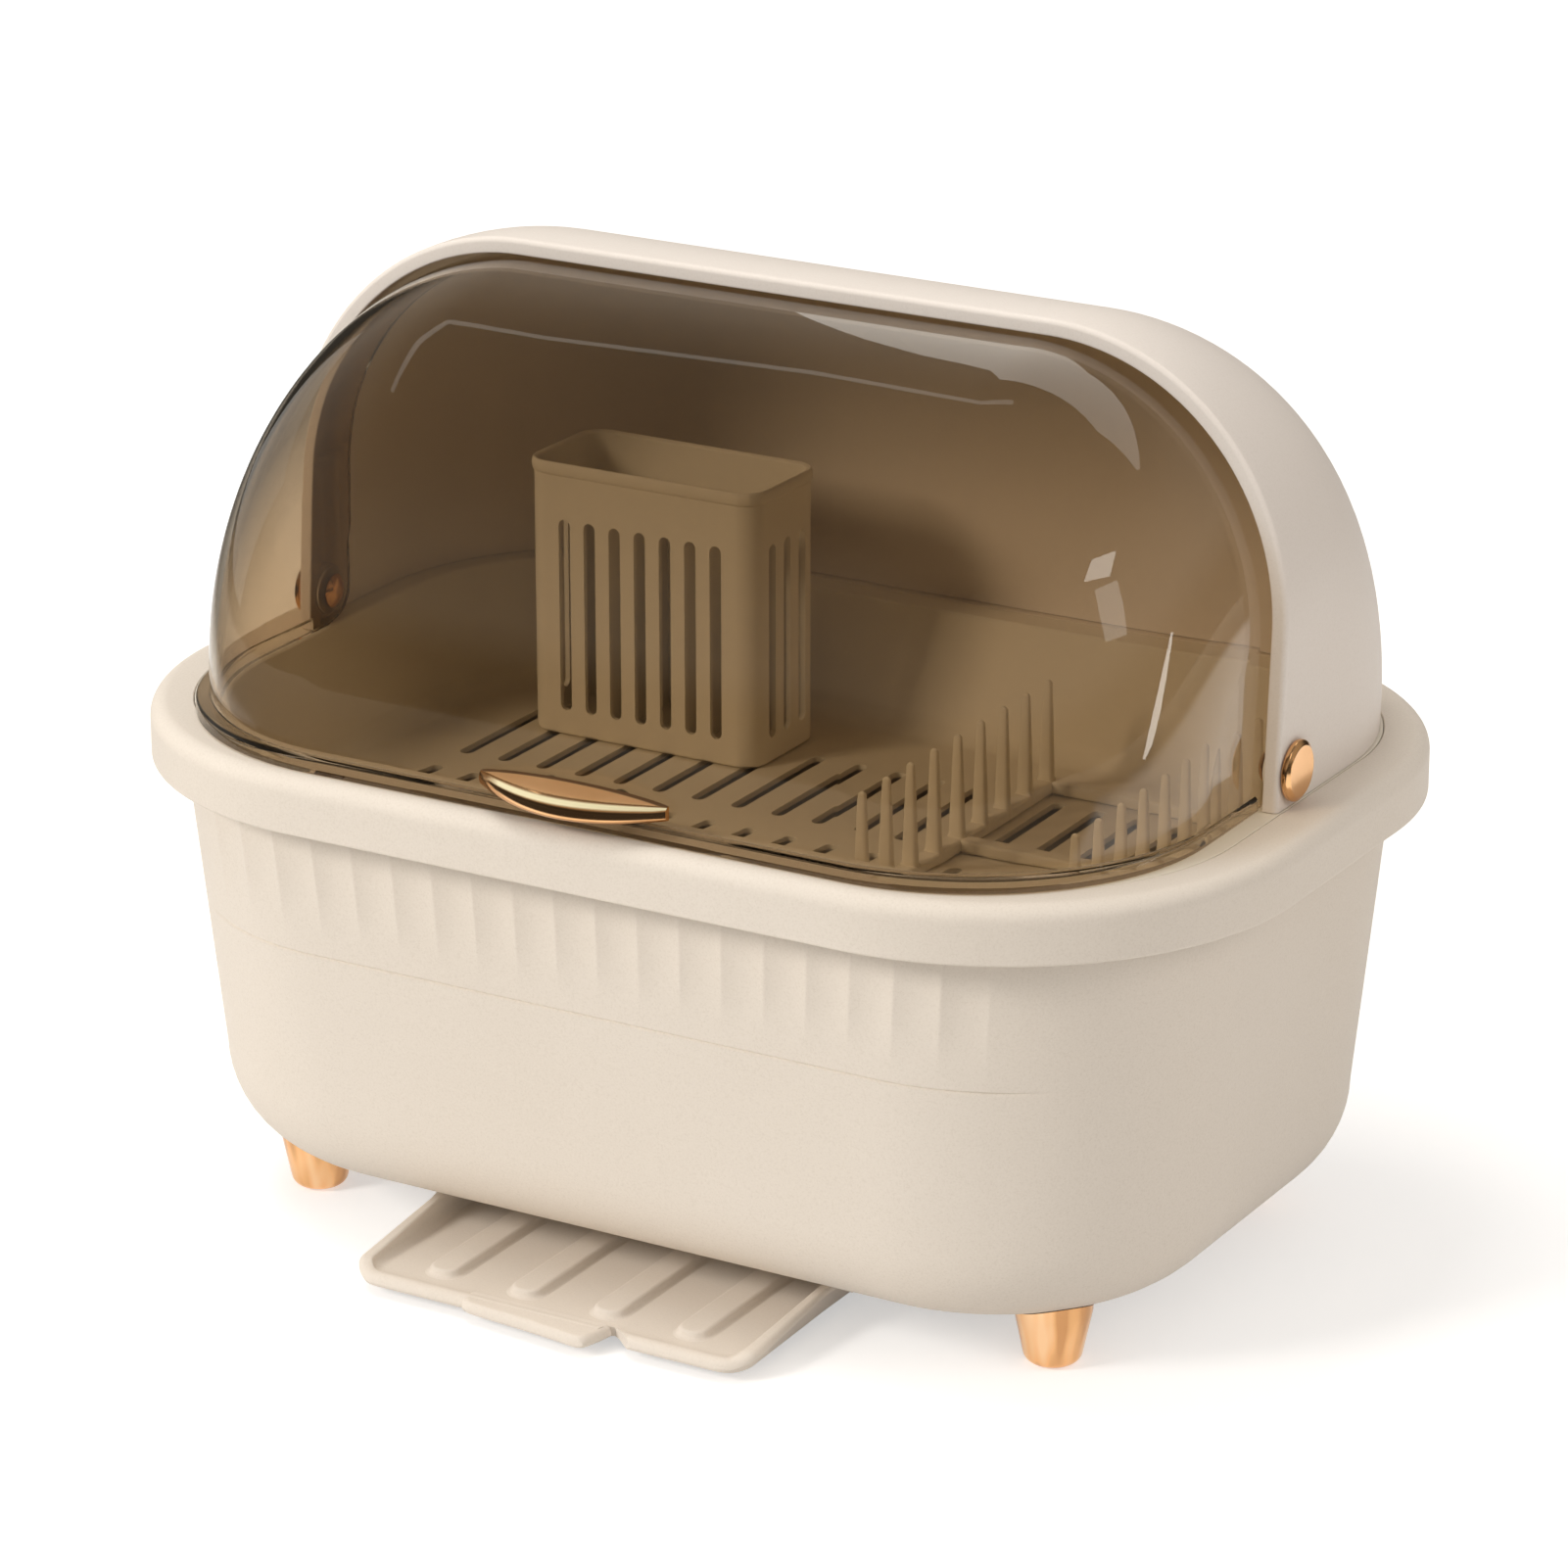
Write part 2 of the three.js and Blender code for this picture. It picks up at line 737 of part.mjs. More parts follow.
// Two combs of upright pegs on a frame. Its own origin is on the floor of the basket.
function makePlateRack() {
  const pieces = [];
  const halfLength = plateRailLength / 2;
  for (const side of [-1, 1]) {
    const x = side * plateRailSpread;
    pieces.push(
      box([x - plateRailWidth / 2, -halfLength, 0], [x + plateRailWidth / 2, halfLength, plateRailHeight]),
    );
    for (let i = 0; i < platePegCount; i++) {
      const y = (i - (platePegCount - 1) / 2) * platePegPitch;
      pieces.push(platePeg(x, y));
    }
  }
  for (let i = 0; i < plateBarCount; i++) {
    const y = ((2 * i) / (plateBarCount - 1) - 1) * (halfLength - plateRailWidth / 2);
    pieces.push(
      box(
        [-plateRailSpread, y - plateRailWidth / 2, 0],
        [plateRailSpread, y + plateRailWidth / 2, plateRailHeight],
      ),
    );
  }
  return joined(pieces);
}

function platePeg(x, y) {
  const row = (share, z) => {
    const halfWidth = (platePegWidth * share) / 2;
    const halfThickness = (platePegThickness * share) / 2;
    return [
      [x - halfWidth, y - halfThickness, z],
      [x + halfWidth, y - halfThickness, z],
      [x + halfWidth, y + halfThickness, z],
      [x - halfWidth, y + halfThickness, z],
    ];
  };
  return toSolid(skin([row(1, plateRailHeight / 2), row(platePegTipShare, platePegHeight)]));
}

// An open box with slotted walls and cells. Its own origin is on the floor of the basket.
function makeCage() {
  const row = (inset, z) =>
    roundedRow(cageHalfWidth - inset, cageHalfDepth - inset, cageCornerRadius - inset, z);
  const outside = toSolid(skin([row(0, 0), row(0, cageHeight)]));
  const inside = toSolid(skin([row(cageWall, cageWall), row(cageWall, cageHeight + overrun)]));
  const dividers = [];
  for (let i = 1; i < cageCells; i++) {
    const x = ((2 * i) / cageCells - 1) * cageHalfWidth;
    dividers.push(
      box(
        [x - cageWall / 2, cageWall / 2 - cageHalfDepth, cageWall / 2],
        [x + cageWall / 2, cageHalfDepth - cageWall / 2, cageSlotFoot + cageSlotHeight],
      ),
    );
  }
  const slots = [];
  for (let i = 0; i < cageFrontSlots; i++) {
    const x = (i - (cageFrontSlots - 1) / 2) * cageSlotPitch;
    slots.push(cageSlot([x - cageSlotWidth / 2, x + cageSlotWidth / 2], null));
  }
  for (let i = 0; i < cageSideSlots; i++) {
    const y = (i - (cageSideSlots - 1) / 2) * cageSlotPitch;
    slots.push(cageSlot(null, [y - cageSlotWidth / 2, y + cageSlotWidth / 2]));
  }
  const walls = outside.subtract(inside).subtract(joined(slots));
  return walls.add(joined(dividers)).subtract(cageFloorHoles());
}

function cageSlot(acrossX, acrossY) {
  const [lowX, highX] = acrossX ?? [-cageHalfWidth - overrun, cageHalfWidth + overrun];
  const [lowY, highY] = acrossY ?? [-cageHalfDepth - overrun, cageHalfDepth + overrun];
  return box([lowX, lowY, cageSlotFoot], [highX, highY, cageSlotFoot + cageSlotHeight]);
}

function cageFloorHoles() {
  const holes = [];
  const cell = (2 * cageHalfWidth) / cageCells;
  for (let i = 0; i < cageCells; i++) {
    for (const side of [-1, 1]) {
      const x = (i - (cageCells - 1) / 2) * cell;
      const y = (side * cageHalfDepth) / 2;
      holes.push(
        box(
          [x - cell / 4, y - cageSlotWidth / 2, -overrun],
          [x + cell / 4, y + cageSlotWidth / 2, cageWall + overrun],
        ),
      );
    }
  }
  return joined(holes);
}

// Angles round the hinge axis, from the front over the top, fine between two given in degrees.
function domeTurns(startDegrees, endDegrees) {
  const fineStart = THREE.MathUtils.degToRad(startDegrees);
  const fineEnd = THREE.MathUtils.degToRad(endDegrees);
  const turns = [];
  for (let i = 0; i <= domeSteps; i++) {
    turns.push(fineStart + ((fineEnd - fineStart) * i) / domeSteps);
  }
  const rest = 2 * Math.PI - (fineEnd - fineStart);
  const coarseSteps = Math.ceil(rest / coarseTurn);
  for (let i = 1; i < coarseSteps; i++) {
    turns.push(fineEnd + (rest * i) / coarseSteps);
  }
  return turns;
}

// A drum about the hinge axis with a rounded-arch outline.
function drum(halfWidth, radius, cornerRadius, turns) {
  const arch = [[-halfWidth, 0]];
  for (const side of [-1, 1]) {
    for (let i = 0; i <= cornerSteps; i++) {
      const turn = ((side === -1 ? i : cornerSteps - i) / cornerSteps) * (Math.PI / 2);
      arch.push([
        side * (halfWidth - cornerRadius + cornerRadius * Math.cos(turn)),
        radius - cornerRadius + cornerRadius * Math.sin(turn),
      ]);
    }
  }
  arch.push([halfWidth, 0]);
  const rows = turns.map((turn) =>
    arch.map(([x, reach]) => [x, -reach * Math.cos(turn), reach * Math.sin(turn)]),
  );
  return toSolid(skin(rows, true));
}

// The space behind the hood's front face, moved back by a setback.
function behindHoodFace(setback) {
  const space = new THREE.BoxGeometry(farAway, farAway, farAway);
  space.translate(0, farAway / 2, 0);
  space.rotateX(-Math.atan(hoodFaceLean));
  return toSolid(space.translate(0, setback - hoodFaceForward, 0));
}

function aboveCoverFoot() {
  return box([-farAway, -farAway, coverFoot], [farAway, farAway, farAway]);
}

function hoodDrum(inset) {
  const turns = domeTurns(hoodFineStart, hoodFineEnd);
  return drum(hoodHalfWidth - inset, hoodRadius - inset, hoodCornerRadius - inset, turns);
}

function visorDrum(inset) {
  const turns = domeTurns(visorFineStart, visorFineEnd);
  return drum(visorHalfWidth - inset, visorRadius - inset, visorCornerRadius - inset, turns);
}

function makeHood() {
  const hollow = hoodDrum(hoodWall).intersect(behindHoodFace(hoodBandDepth)).add(hoodDrum(hoodBand));
  const shell = hoodDrum(0).intersect(behindHoodFace(0)).intersect(aboveCoverFoot()).subtract(hollow);
  const bossEnd = visorHalfWidth + 2 * seatGap + washerThickness;
  const bosses = [-1, 1].map((side) =>
    rodX(hingeBossRadius, side * bossEnd, side * (hoodHalfWidth - hoodWall / 2), 0, 0, discSides),
  );
  const holeRadius = pinShankRadius + shankGap;
  const hole = rodX(holeRadius, -hoodHalfWidth - overrun, hoodHalfWidth + overrun, 0, 0);
  return shell.add(joined(bosses)).subtract(hole);
}

// The flange along the visor's lower edge.
function visorLip() {
  const footHalfDepth = Math.sqrt(visorRadius ** 2 - coverFoot ** 2) + visorLipFrontReach;
  const row = (inset, z) =>
    roundedRow(
      visorHalfWidth + visorLipSideReach - inset,
      footHalfDepth - inset,
      visorLipCornerRadius - inset,
      z,
    );
  const top = coverFoot + visorLipHeight;
  const block = toSolid(skin([row(0, coverFoot), row(0, top - visorLipChamfer), row(visorLipChamfer, top)]));
  const back = -hoodFaceForward - hoodFaceLean * hingeLift - visorLipClearance;
  return block.intersect(box([-farAway, -farAway, -farAway], [farAway, back, farAway]));
}

function makeVisor() {
  const sheet = visorDrum(0)
    .intersect(aboveCoverFoot())
    .intersect(box([-farAway, -farAway, -farAway], [farAway, visorEarRadius, farAway]));
  const heel = box([-farAway, 0, -hingeLift], [farAway, 2 * visorEarRadius, 0]).subtract(
    rodX(visorEarRadius, -farAway, farAway, 0, 0, discSides),
  );
  const pinHole = rodX(pinShankRadius + shankGap, -hoodHalfWidth, hoodHalfWidth, 0, 0);
  const screwHoles = handleScrewPlaces().map(([, x]) =>
    rodY(screwShankRadius + shankGap, -visorRadius - overrun, -visorRadius / 2, x, -handleDrop),
  );
  return sheet
    .add(visorLip())
    .subtract(visorDrum(visorWall))
    .subtract(joined([heel, pinHole, ...screwHoles]));
}

function handleScrewPlaces() {
  return [
    ["left", handleX - handleScrewSpread],
    ["right", handleX + handleScrewSpread],
  ];
}

// A crescent with a flat top and a rounded nose, on the visor's outer face.
function makeHandle() {
  const back = -visorRadius - seatGap;
  const rows = [];
  for (let i = 0; i <= handleSteps; i++) {
    const along = (2 * i) / handleSteps - 1;
    const bulge = 1 - along ** 2;
    const reach = handleTipReach + (handleReach - handleTipReach) * bulge;
    const halfHeight = (handleTipHeight + (handleHeight - handleTipHeight) * bulge) / 2;
    const nose = Math.min(reach * handleNoseShare, halfHeight);
    const x = handleX + along * handleHalfLength;
    const row = [
      [x, back, halfHeight - handleDrop],
      [x, back, -halfHeight - handleDrop],
    ];
    for (let j = 0; j <= handleNoseSteps; j++) {
      const turn = (j / handleNoseSteps - 1 / 2) * Math.PI;
      row.push([
        x,
        back - reach + nose * (1 - Math.cos(turn)),
        halfHeight * Math.sin(turn) - handleDrop,
      ]);
    }
    rows.push(row);
  }
  const holes = handleScrewPlaces().map(([, x]) =>
    rodY(screwShankRadius + shankGap, back - handleScrewBite - shankGap, back + overrun, x, -handleDrop),
  );
  return toSolid(skin(rows)).subtract(joined(holes));
}

function handleScrewSeat() {
  return -Math.sqrt((visorRadius - visorWall) ** 2 - screwHeadRadius ** 2) + seatGap;
}

function makeHandleScrew() {
  const length = visorRadius + handleScrewSeat() + handleScrewBite;
  return toSolid(screwGeometry(length).rotateX(-Math.PI / 2));
}

// A domed rivet pin. It lies along +X with the underside of its head at zero.
function makePin() {
  const capHole = visorHalfWidth - visorWall - seatGap - pinTipDepth;
  const shankLength = hoodHalfWidth + seatGap - capHole;
  const profile = [
    [0, -shankLength],
    [pinShankRadius, -shankLength],
    [pinShankRadius, 0],
    [pinHeadRadius, 0],
    [pinHeadRadius, pinHeadThickness - pinHeadEdge],
    [pinHeadRadius - pinHeadEdge, pinHeadThickness],
    [0, pinHeadThickness],
  ];
  return toSolid(turned(profile, discSides).rotateY(Math.PI / 2));
}

// The cap pressed on the pin's inner end. It faces the visor's ear at zero and bulges towards -X.
function makeCap() {
  const profile = [
    [0, -capThickness],
    [capRadius - capEdge, -capThickness],
    [capRadius, -capThickness + capEdge],
    [capRadius, 0],
    [0, 0],
  ];
  const hole = rodX(pinShankRadius + shankGap, -pinTipDepth - shankGap, overrun, 0, 0);
  return toSolid(turned(profile, discSides).rotateY(Math.PI / 2)).subtract(hole);
}

function makeWasher() {
  const hole = rodX(pinShankRadius + shankGap, -overrun, washerThickness + overrun, 0, 0);
  return rodX(washerRadius, 0, washerThickness, 0, 0, discSides).subtract(hole);
}

const rack = new THREE.Group();
rack.position.y = -(rackFront + rimHalfDepth) / 2;

place(rack, "base_tub", makeTub(), creamPlastic);
for (const [corner, x, y] of footPlaces()) {
  place(rack, `foot_${corner}`, makeFoot(x, y), goldPlate);
  const seat = tubFloorHeight + footBossHeight + seatGap;
  place(rack, `foot_screw_${corner}`, makeFootScrew(), zincSteel).position.set(x, y, seat);
}

const trayBay = new THREE.Group();
trayBay.position.x = trayCentre;
rack.add(trayBay);
place(trayBay, "drip_tray", makeTray(), creamPlastic);
place(trayBay, "tray_rail_left", makeRail(-1), creamPlastic);
place(trayBay, "tray_rail_right", makeRail(1), creamPlastic);
for (const [side, end, x, y] of railScrewPlaces()) {
  const name = `rail_screw_${end < 0 ? "front" : "rear"}_${side < 0 ? "left" : "right"}`;
  const seat = tubFloorHeight + tubWall + seatGap;
  place(rack, name, makeRailScrew(), zincSteel).position.set(x, y, seat);
}

const basket = new THREE.Group();
basket.position.z = basketFloorTop + seatGap;
rack.add(basket);
place(rack, "drain_basket", makeBasket(), innerPlastic);
place(basket, "plate_rack", makePlateRack(), innerPlastic).position.set(plateRackX, plateRackY, 0);
place(basket, "cutlery_cage", makeCage(), innerPlastic).position.set(cageX, cageY, 0);

const cover = new THREE.Group();
cover.position.set(0, hingeY, hingeZ);
rack.add(cover);
place(cover, "hood_shell", makeHood(), hoodPlastic);
place(cover, "visor", makeVisor(), smokedPlastic);
place(cover, "visor_handle", makeHandle(), goldPlate);
for (const [side, x] of handleScrewPlaces()) {
  const screw = place(cover, `handle_screw_${side}`, makeHandleScrew(), zincSteel);
  screw.position.set(x, handleScrewSeat(), -handleDrop);
}
for (const [side, turn] of [
  ["right", 0],
  ["left", Math.PI],
]) {
  const hinge = new THREE.Group();
  hinge.rotation.z = turn;
  cover.add(hinge);
  place(hinge, `hinge_pin_${side}`, makePin(), goldPlate).position.x = hoodHalfWidth + seatGap;
  place(hinge, `hinge_washer_${side}`, makeWasher(), innerPlastic).position.x = visorHalfWidth + seatGap;
  place(hinge, `hinge_cap_${side}`, makeCap(), goldPlate).position.x = visorHalfWidth - visorWall - seatGap;
}

export default rack;
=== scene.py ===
import math
import bmesh
import bpy
import numpy as np
from mathutils import Matrix, Vector


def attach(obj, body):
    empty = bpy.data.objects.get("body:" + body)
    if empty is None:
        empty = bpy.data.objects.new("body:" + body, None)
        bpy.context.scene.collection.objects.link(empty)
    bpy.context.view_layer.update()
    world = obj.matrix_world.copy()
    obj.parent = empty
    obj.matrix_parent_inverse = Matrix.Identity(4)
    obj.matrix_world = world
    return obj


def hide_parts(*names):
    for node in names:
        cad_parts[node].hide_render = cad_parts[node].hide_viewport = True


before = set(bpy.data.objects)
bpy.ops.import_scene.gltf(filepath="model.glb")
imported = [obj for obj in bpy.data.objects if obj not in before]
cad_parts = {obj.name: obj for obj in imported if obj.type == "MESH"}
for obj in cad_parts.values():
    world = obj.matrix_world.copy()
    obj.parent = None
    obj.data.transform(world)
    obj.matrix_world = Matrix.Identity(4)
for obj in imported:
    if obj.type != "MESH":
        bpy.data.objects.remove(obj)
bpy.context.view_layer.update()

# Lengths are in millimetres in the rack's own frame, whose origin is under the middle of the tub.
MM = 0.001
RACK = np.array([0.0, 3.25, 0.0])
AXIS = RACK + np.array([0.0, -3.5, 204.9])  # the middle of the visor's hinge
GAP = 0.3  # between pieces that rest on each other or turn in each other
SHARP = 40  # the turn in degrees from which an edge is shaded as sharp
SIDES = (("left", -1), ("right", 1))

# Turns, as 3x3 matrices
UPRIGHT = np.eye(3)
QUARTER = np.array([[0, -1, 0], [1, 0, 0], [0, 0, 1]])
BACKWARD = np.array([[1, 0, 0], [0, 0, 1], [0, -1, 0]])
LYING_Y = np.array([[1, 0, 0], [0, 0, -1], [0, 1, 0]])
LYING_X = np.array([[0, 0, 1], [1, 0, 0], [0, 1, 0]])


def outward(sign):
    """Lays Z along +X or -X."""
    return np.array([[0, 0, sign], [0, 1, 0], [-sign, 0, 0]])


def add_object(name, data):
    obj = bpy.data.objects.new(name, data)
    bpy.context.scene.collection.objects.link(obj)
    return obj


# Camera

AZIMUTH = math.radians(30.19)
ELEVATION = math.radians(19.76)
DISTANCE = 2210.88
FOCAL_PIXELS = 6200.0
IMAGE_PIXELS = 1601
TARGET = RACK + np.array([-0.403, 0.0, 161.398])


def make_camera():
    level = math.cos(ELEVATION)
    back = np.array([math.sin(AZIMUTH) * level, -math.cos(AZIMUTH) * level, math.sin(ELEVATION)])
    right = np.cross(-back, [0, 0, 1])
    right /= np.linalg.norm(right)
    up = np.cross(back, right)
    data = bpy.data.cameras.new("camera")
    data.sensor_fit = "HORIZONTAL"
    data.sensor_width = 36
    data.lens = FOCAL_PIXELS * data.sensor_width / IMAGE_PIXELS
    data.clip_start = 0.05
    data.clip_end = 50
    camera = add_object("camera", data)
    place = (TARGET + back * DISTANCE) * MM
    turn = Matrix([right, up, back]).transposed().to_4x4()
    camera.matrix_world = Matrix.Translation(Vector(place)) @ turn
    bpy.context.scene.camera = camera


make_camera()


# Mesh building


class Skin:
    """Points in millimetres and the faces between them."""

    def __init__(self):
        self.points = []
        self.faces = []

    def row(self, points):
        start = len(self.points)
        self.points.extend(tuple(map(float, p)) for p in points)
        return list(range(start, len(self.points)))

    def bridge(self, a, b, loop=False):
        count = len(a)
        for i in range(count if loop else count - 1):
            j = (i + 1) % count
            self.faces.append((a[i], a[j], b[j], b[i]))

    def ladder(self, ids):
        """Bridges open rows, each with the next."""
        for a, b in zip(ids, ids[1:]):
            self.bridge(a, b)

    def rows(self, rows, ring=False):
        """Bridges closed rows, and the last one with the first if they make a ring."""
        ids = [self.row(r) for r in rows]
        for a, b in zip(ids, ids[1:]):
            self.bridge(a, b, True)
        if ring:
            self.bridge(ids[-1], ids[0], True)
        return ids

    def face(self, ids):
        self.faces.append(tuple(ids))

    def add(self, other, move=(0, 0, 0), turn=UPRIGHT):
        start = len(self.points)
        self.points.extend(tuple(turn @ np.array(p) + move) for p in other.points)
        self.faces.extend(tuple(i + start for i in f) for f in other.faces)
        return self


def placed(skin, move, turn=UPRIGHT):
    return Skin().add(skin, move, turn)


def capped(rows):
    """A skin over closed rows, with a face at both ends."""
    skin = Skin()
    ids = skin.rows(rows)
    skin.face(ids[0])
    skin.face(ids[-1])
    return skin


def clean(mesh, sharp=SHARP):
    """Joins doubled points, turns faces outwards and marks the sharp edges."""
    bm = bmesh.new()
    bm.from_mesh(mesh)
    bmesh.ops.remove_doubles(bm, verts=bm.verts, dist=2e-6)
    bmesh.ops.dissolve_degenerate(bm, dist=1e-6, edges=bm.edges)
    bmesh.ops.recalc_face_normals(bm, faces=bm.faces)
    for f in bm.faces:
        f.smooth = True
    for e in bm.edges:
        e.smooth = len(e.link_faces) == 2 and e.calc_face_angle(0) < math.radians(sharp)
    bm.to_mesh(mesh)
    bm.free()


def mesh_object(name, points, faces):
    mesh = bpy.data.meshes.new(name)
    mesh.from_pydata(points, [], faces)
    return add_object(name, mesh)


def make_object(name, skin, origin=RACK, sharp=SHARP):
    points = (np.array(skin.points) + origin) * MM
    obj = mesh_object(name, points.tolist(), skin.faces)
    clean(obj.data, sharp)
    return obj


def cut(obj, cutter):
    """Cuts a closed skin out of an object and keeps the result in its mesh."""
    tool = make_object("cutter", cutter)
    mod = obj.modifiers.new("cut", "BOOLEAN")
    mod.operation = "DIFFERENCE"
    mod.solver = "EXACT"
    mod.object = tool
    bpy.context.view_layer.update()
    graph = bpy.context.evaluated_depsgraph_get()
    mesh = bpy.data.meshes.new_from_object(obj.evaluated_get(graph))
    obj.modifiers.remove(mod)
    obj.data = mesh
    bpy.data.objects.remove(tool)
    clean(mesh)
    return obj


def join(obj, skin):
    """Adds a skin to an object's mesh."""
    extra = make_object("extra", skin)
    bm = bmesh.new()
    bm.from_mesh(obj.data)
    bm.from_mesh(extra.data)
    bm.to_mesh(obj.data)
    bm.free()
    bpy.data.objects.remove(extra)
    return obj


def dress(obj, body, material, node):
    """Gives an object its material and puts it in the place of a solid."""
    obj.data.materials.clear()
    obj.data.materials.append(material)
    even = obj.modifiers.new("even normals", "WEIGHTED_NORMAL")
    even.keep_sharp = True
    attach(obj, body)
    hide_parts(node)


# Outlines


def outline_stops(front_count, side_count, corner_steps):
    """Stops round a rounded rectangle, from the middle of the front to the right. Each is a pair
    for the straight part and a pair for the corner's normal."""
    stops = []
    front = np.linspace(-1, 1, front_count)
    side = np.linspace(-1, 1, side_count)
    corner = np.linspace(0, 1, corner_steps + 1)[1:-1]

    def bend(sx, sy, start):
        for t in corner:
            turn = math.radians(start + 90 * t)
            stops.append((sx, sy, math.cos(turn), math.sin(turn)))

    stops += [(s, -1, 0, -1) for s in front if s >= 0]
    bend(1, -1, -90)
    stops += [(1, s, 1, 0) for s in side]
    bend(1, 1, 0)
    stops += [(-s, 1, 0, 1) for s in side]
    bend(-1, 1, 90)
    stops += [(-1, -s, -1, 0) for s in side]
    bend(-1, -1, 180)
    stops += [(s, -1, 0, -1) for s in front if s < 0]
    return np.array(stops)


def outline(stops, half_x, half_y, radius, z, inset=0.0, centre=(0.0, 0.0)):
    """A closed row. Its height and inset may be arrays with one value a stop."""
    x = stops[:, 0] * (half_x - radius) + stops[:, 2] * (radius - inset) + centre[0]
    y = stops[:, 1] * (half_y - radius) + stops[:, 3] * (radius - inset) + centre[1]
    return np.stack([x, y, np.broadcast_to(z, x.shape)], 1)


def arc(steps):
    """Pairs of 1 - cos and 1 - sin for a quarter turn."""
    return [(1 - math.cos(t), 1 - math.sin(t)) for t in np.linspace(0, math.pi / 2, steps + 1)]


def smooth_step(x, low, high):
    t = np.clip((x - low) / (high - low), 0, 1)
    return t * t * (3 - 2 * t)


def turned(profile, sides):
    """Circles about Z from pairs of radius and height."""
    turns = np.linspace(0, 2 * math.pi, sides, endpoint=False)
    return [[(r * math.cos(t), r * math.sin(t), z) for t in turns] for r, z in profile]


def lathe(profile, sides=48):
    """A turned skin about Z from pairs of radius and height, closed on the axis at both ends."""
    return capped(turned([p for p in profile if p[0] > 0], sides))


def rounded(profile, radius, steps=4):
    """Rounds the inner corners of an open profile of pairs."""
    out = [profile[0]]
    nearly_straight = math.radians(172)
    for a, b, c in zip(profile, profile[1:], profile[2:]):
        a, b, c = map(np.array, (a, b, c))
        u, w = a - b, c - b
        lu, lw = np.linalg.norm(u), np.linalg.norm(w)
        u, w = u / lu, w / lw
        turn = math.acos(max(-1, min(1, float(u @ w))))
        if turn > nearly_straight:
            out.append(tuple(b))
            continue
        size = min(radius, lu * 0.49 * math.tan(turn / 2), lw * 0.49 * math.tan(turn / 2))
        reach = size / math.tan(turn / 2)
        middle = b + (u + w) / np.linalg.norm(u + w) * (size / math.sin(turn / 2))
        start, end = b + u * reach - middle, b + w * reach - middle
        a0, a1 = math.atan2(start[1], start[0]), math.atan2(end[1], end[0])
        while a1 - a0 > math.pi:
            a1 -= 2 * math.pi
        while a1 - a0 < -math.pi:
            a1 += 2 * math.pi
        for k in range(steps + 1):
            t = a0 + (a1 - a0) * k / steps
            out.append((middle[0] + size * math.cos(t), middle[1] + size * math.sin(t)))
    out.append(profile[-1])
    return [tuple(map(float, p)) for p in out]


def soft_box(low, high, radius, steps=3):
    """A box with rounded edges."""
    low, high = np.array(low, float), np.array(high, float)
    bm = bmesh.new()
    bmesh.ops.create_cube(bm, size=1)
    for v in bm.verts:
        v.co = Vector((low + high) / 2 + np.array(v.co) * (high - low))
    bmesh.ops.bevel(bm, geom=bm.edges, offset=radius, segments=steps, profile=0.5, affect="EDGES")
    skin = Skin()
    bm.verts.index_update()
    skin.points = [tuple(v.co) for v in bm.verts]
    skin.faces = [tuple(v.index for v in f.verts) for f in bm.faces]
    bm.free()
    return skin


def stadium(half_length, half_width, low, high, steps=6):
    """An upright prism with rounded ends, long in Y."""
    ends = []
    for sign, start in ((1, 0), (-1, math.pi)):
        for t in np.linspace(start, start + math.pi, steps + 1):
            x = half_width * math.cos(t)
            y = sign * (half_length - half_width) + half_width * math.sin(t)
            ends.append((x, y))
    return capped([[(x, y, z) for x, y in ends] for z in (low, high)])


# Materials


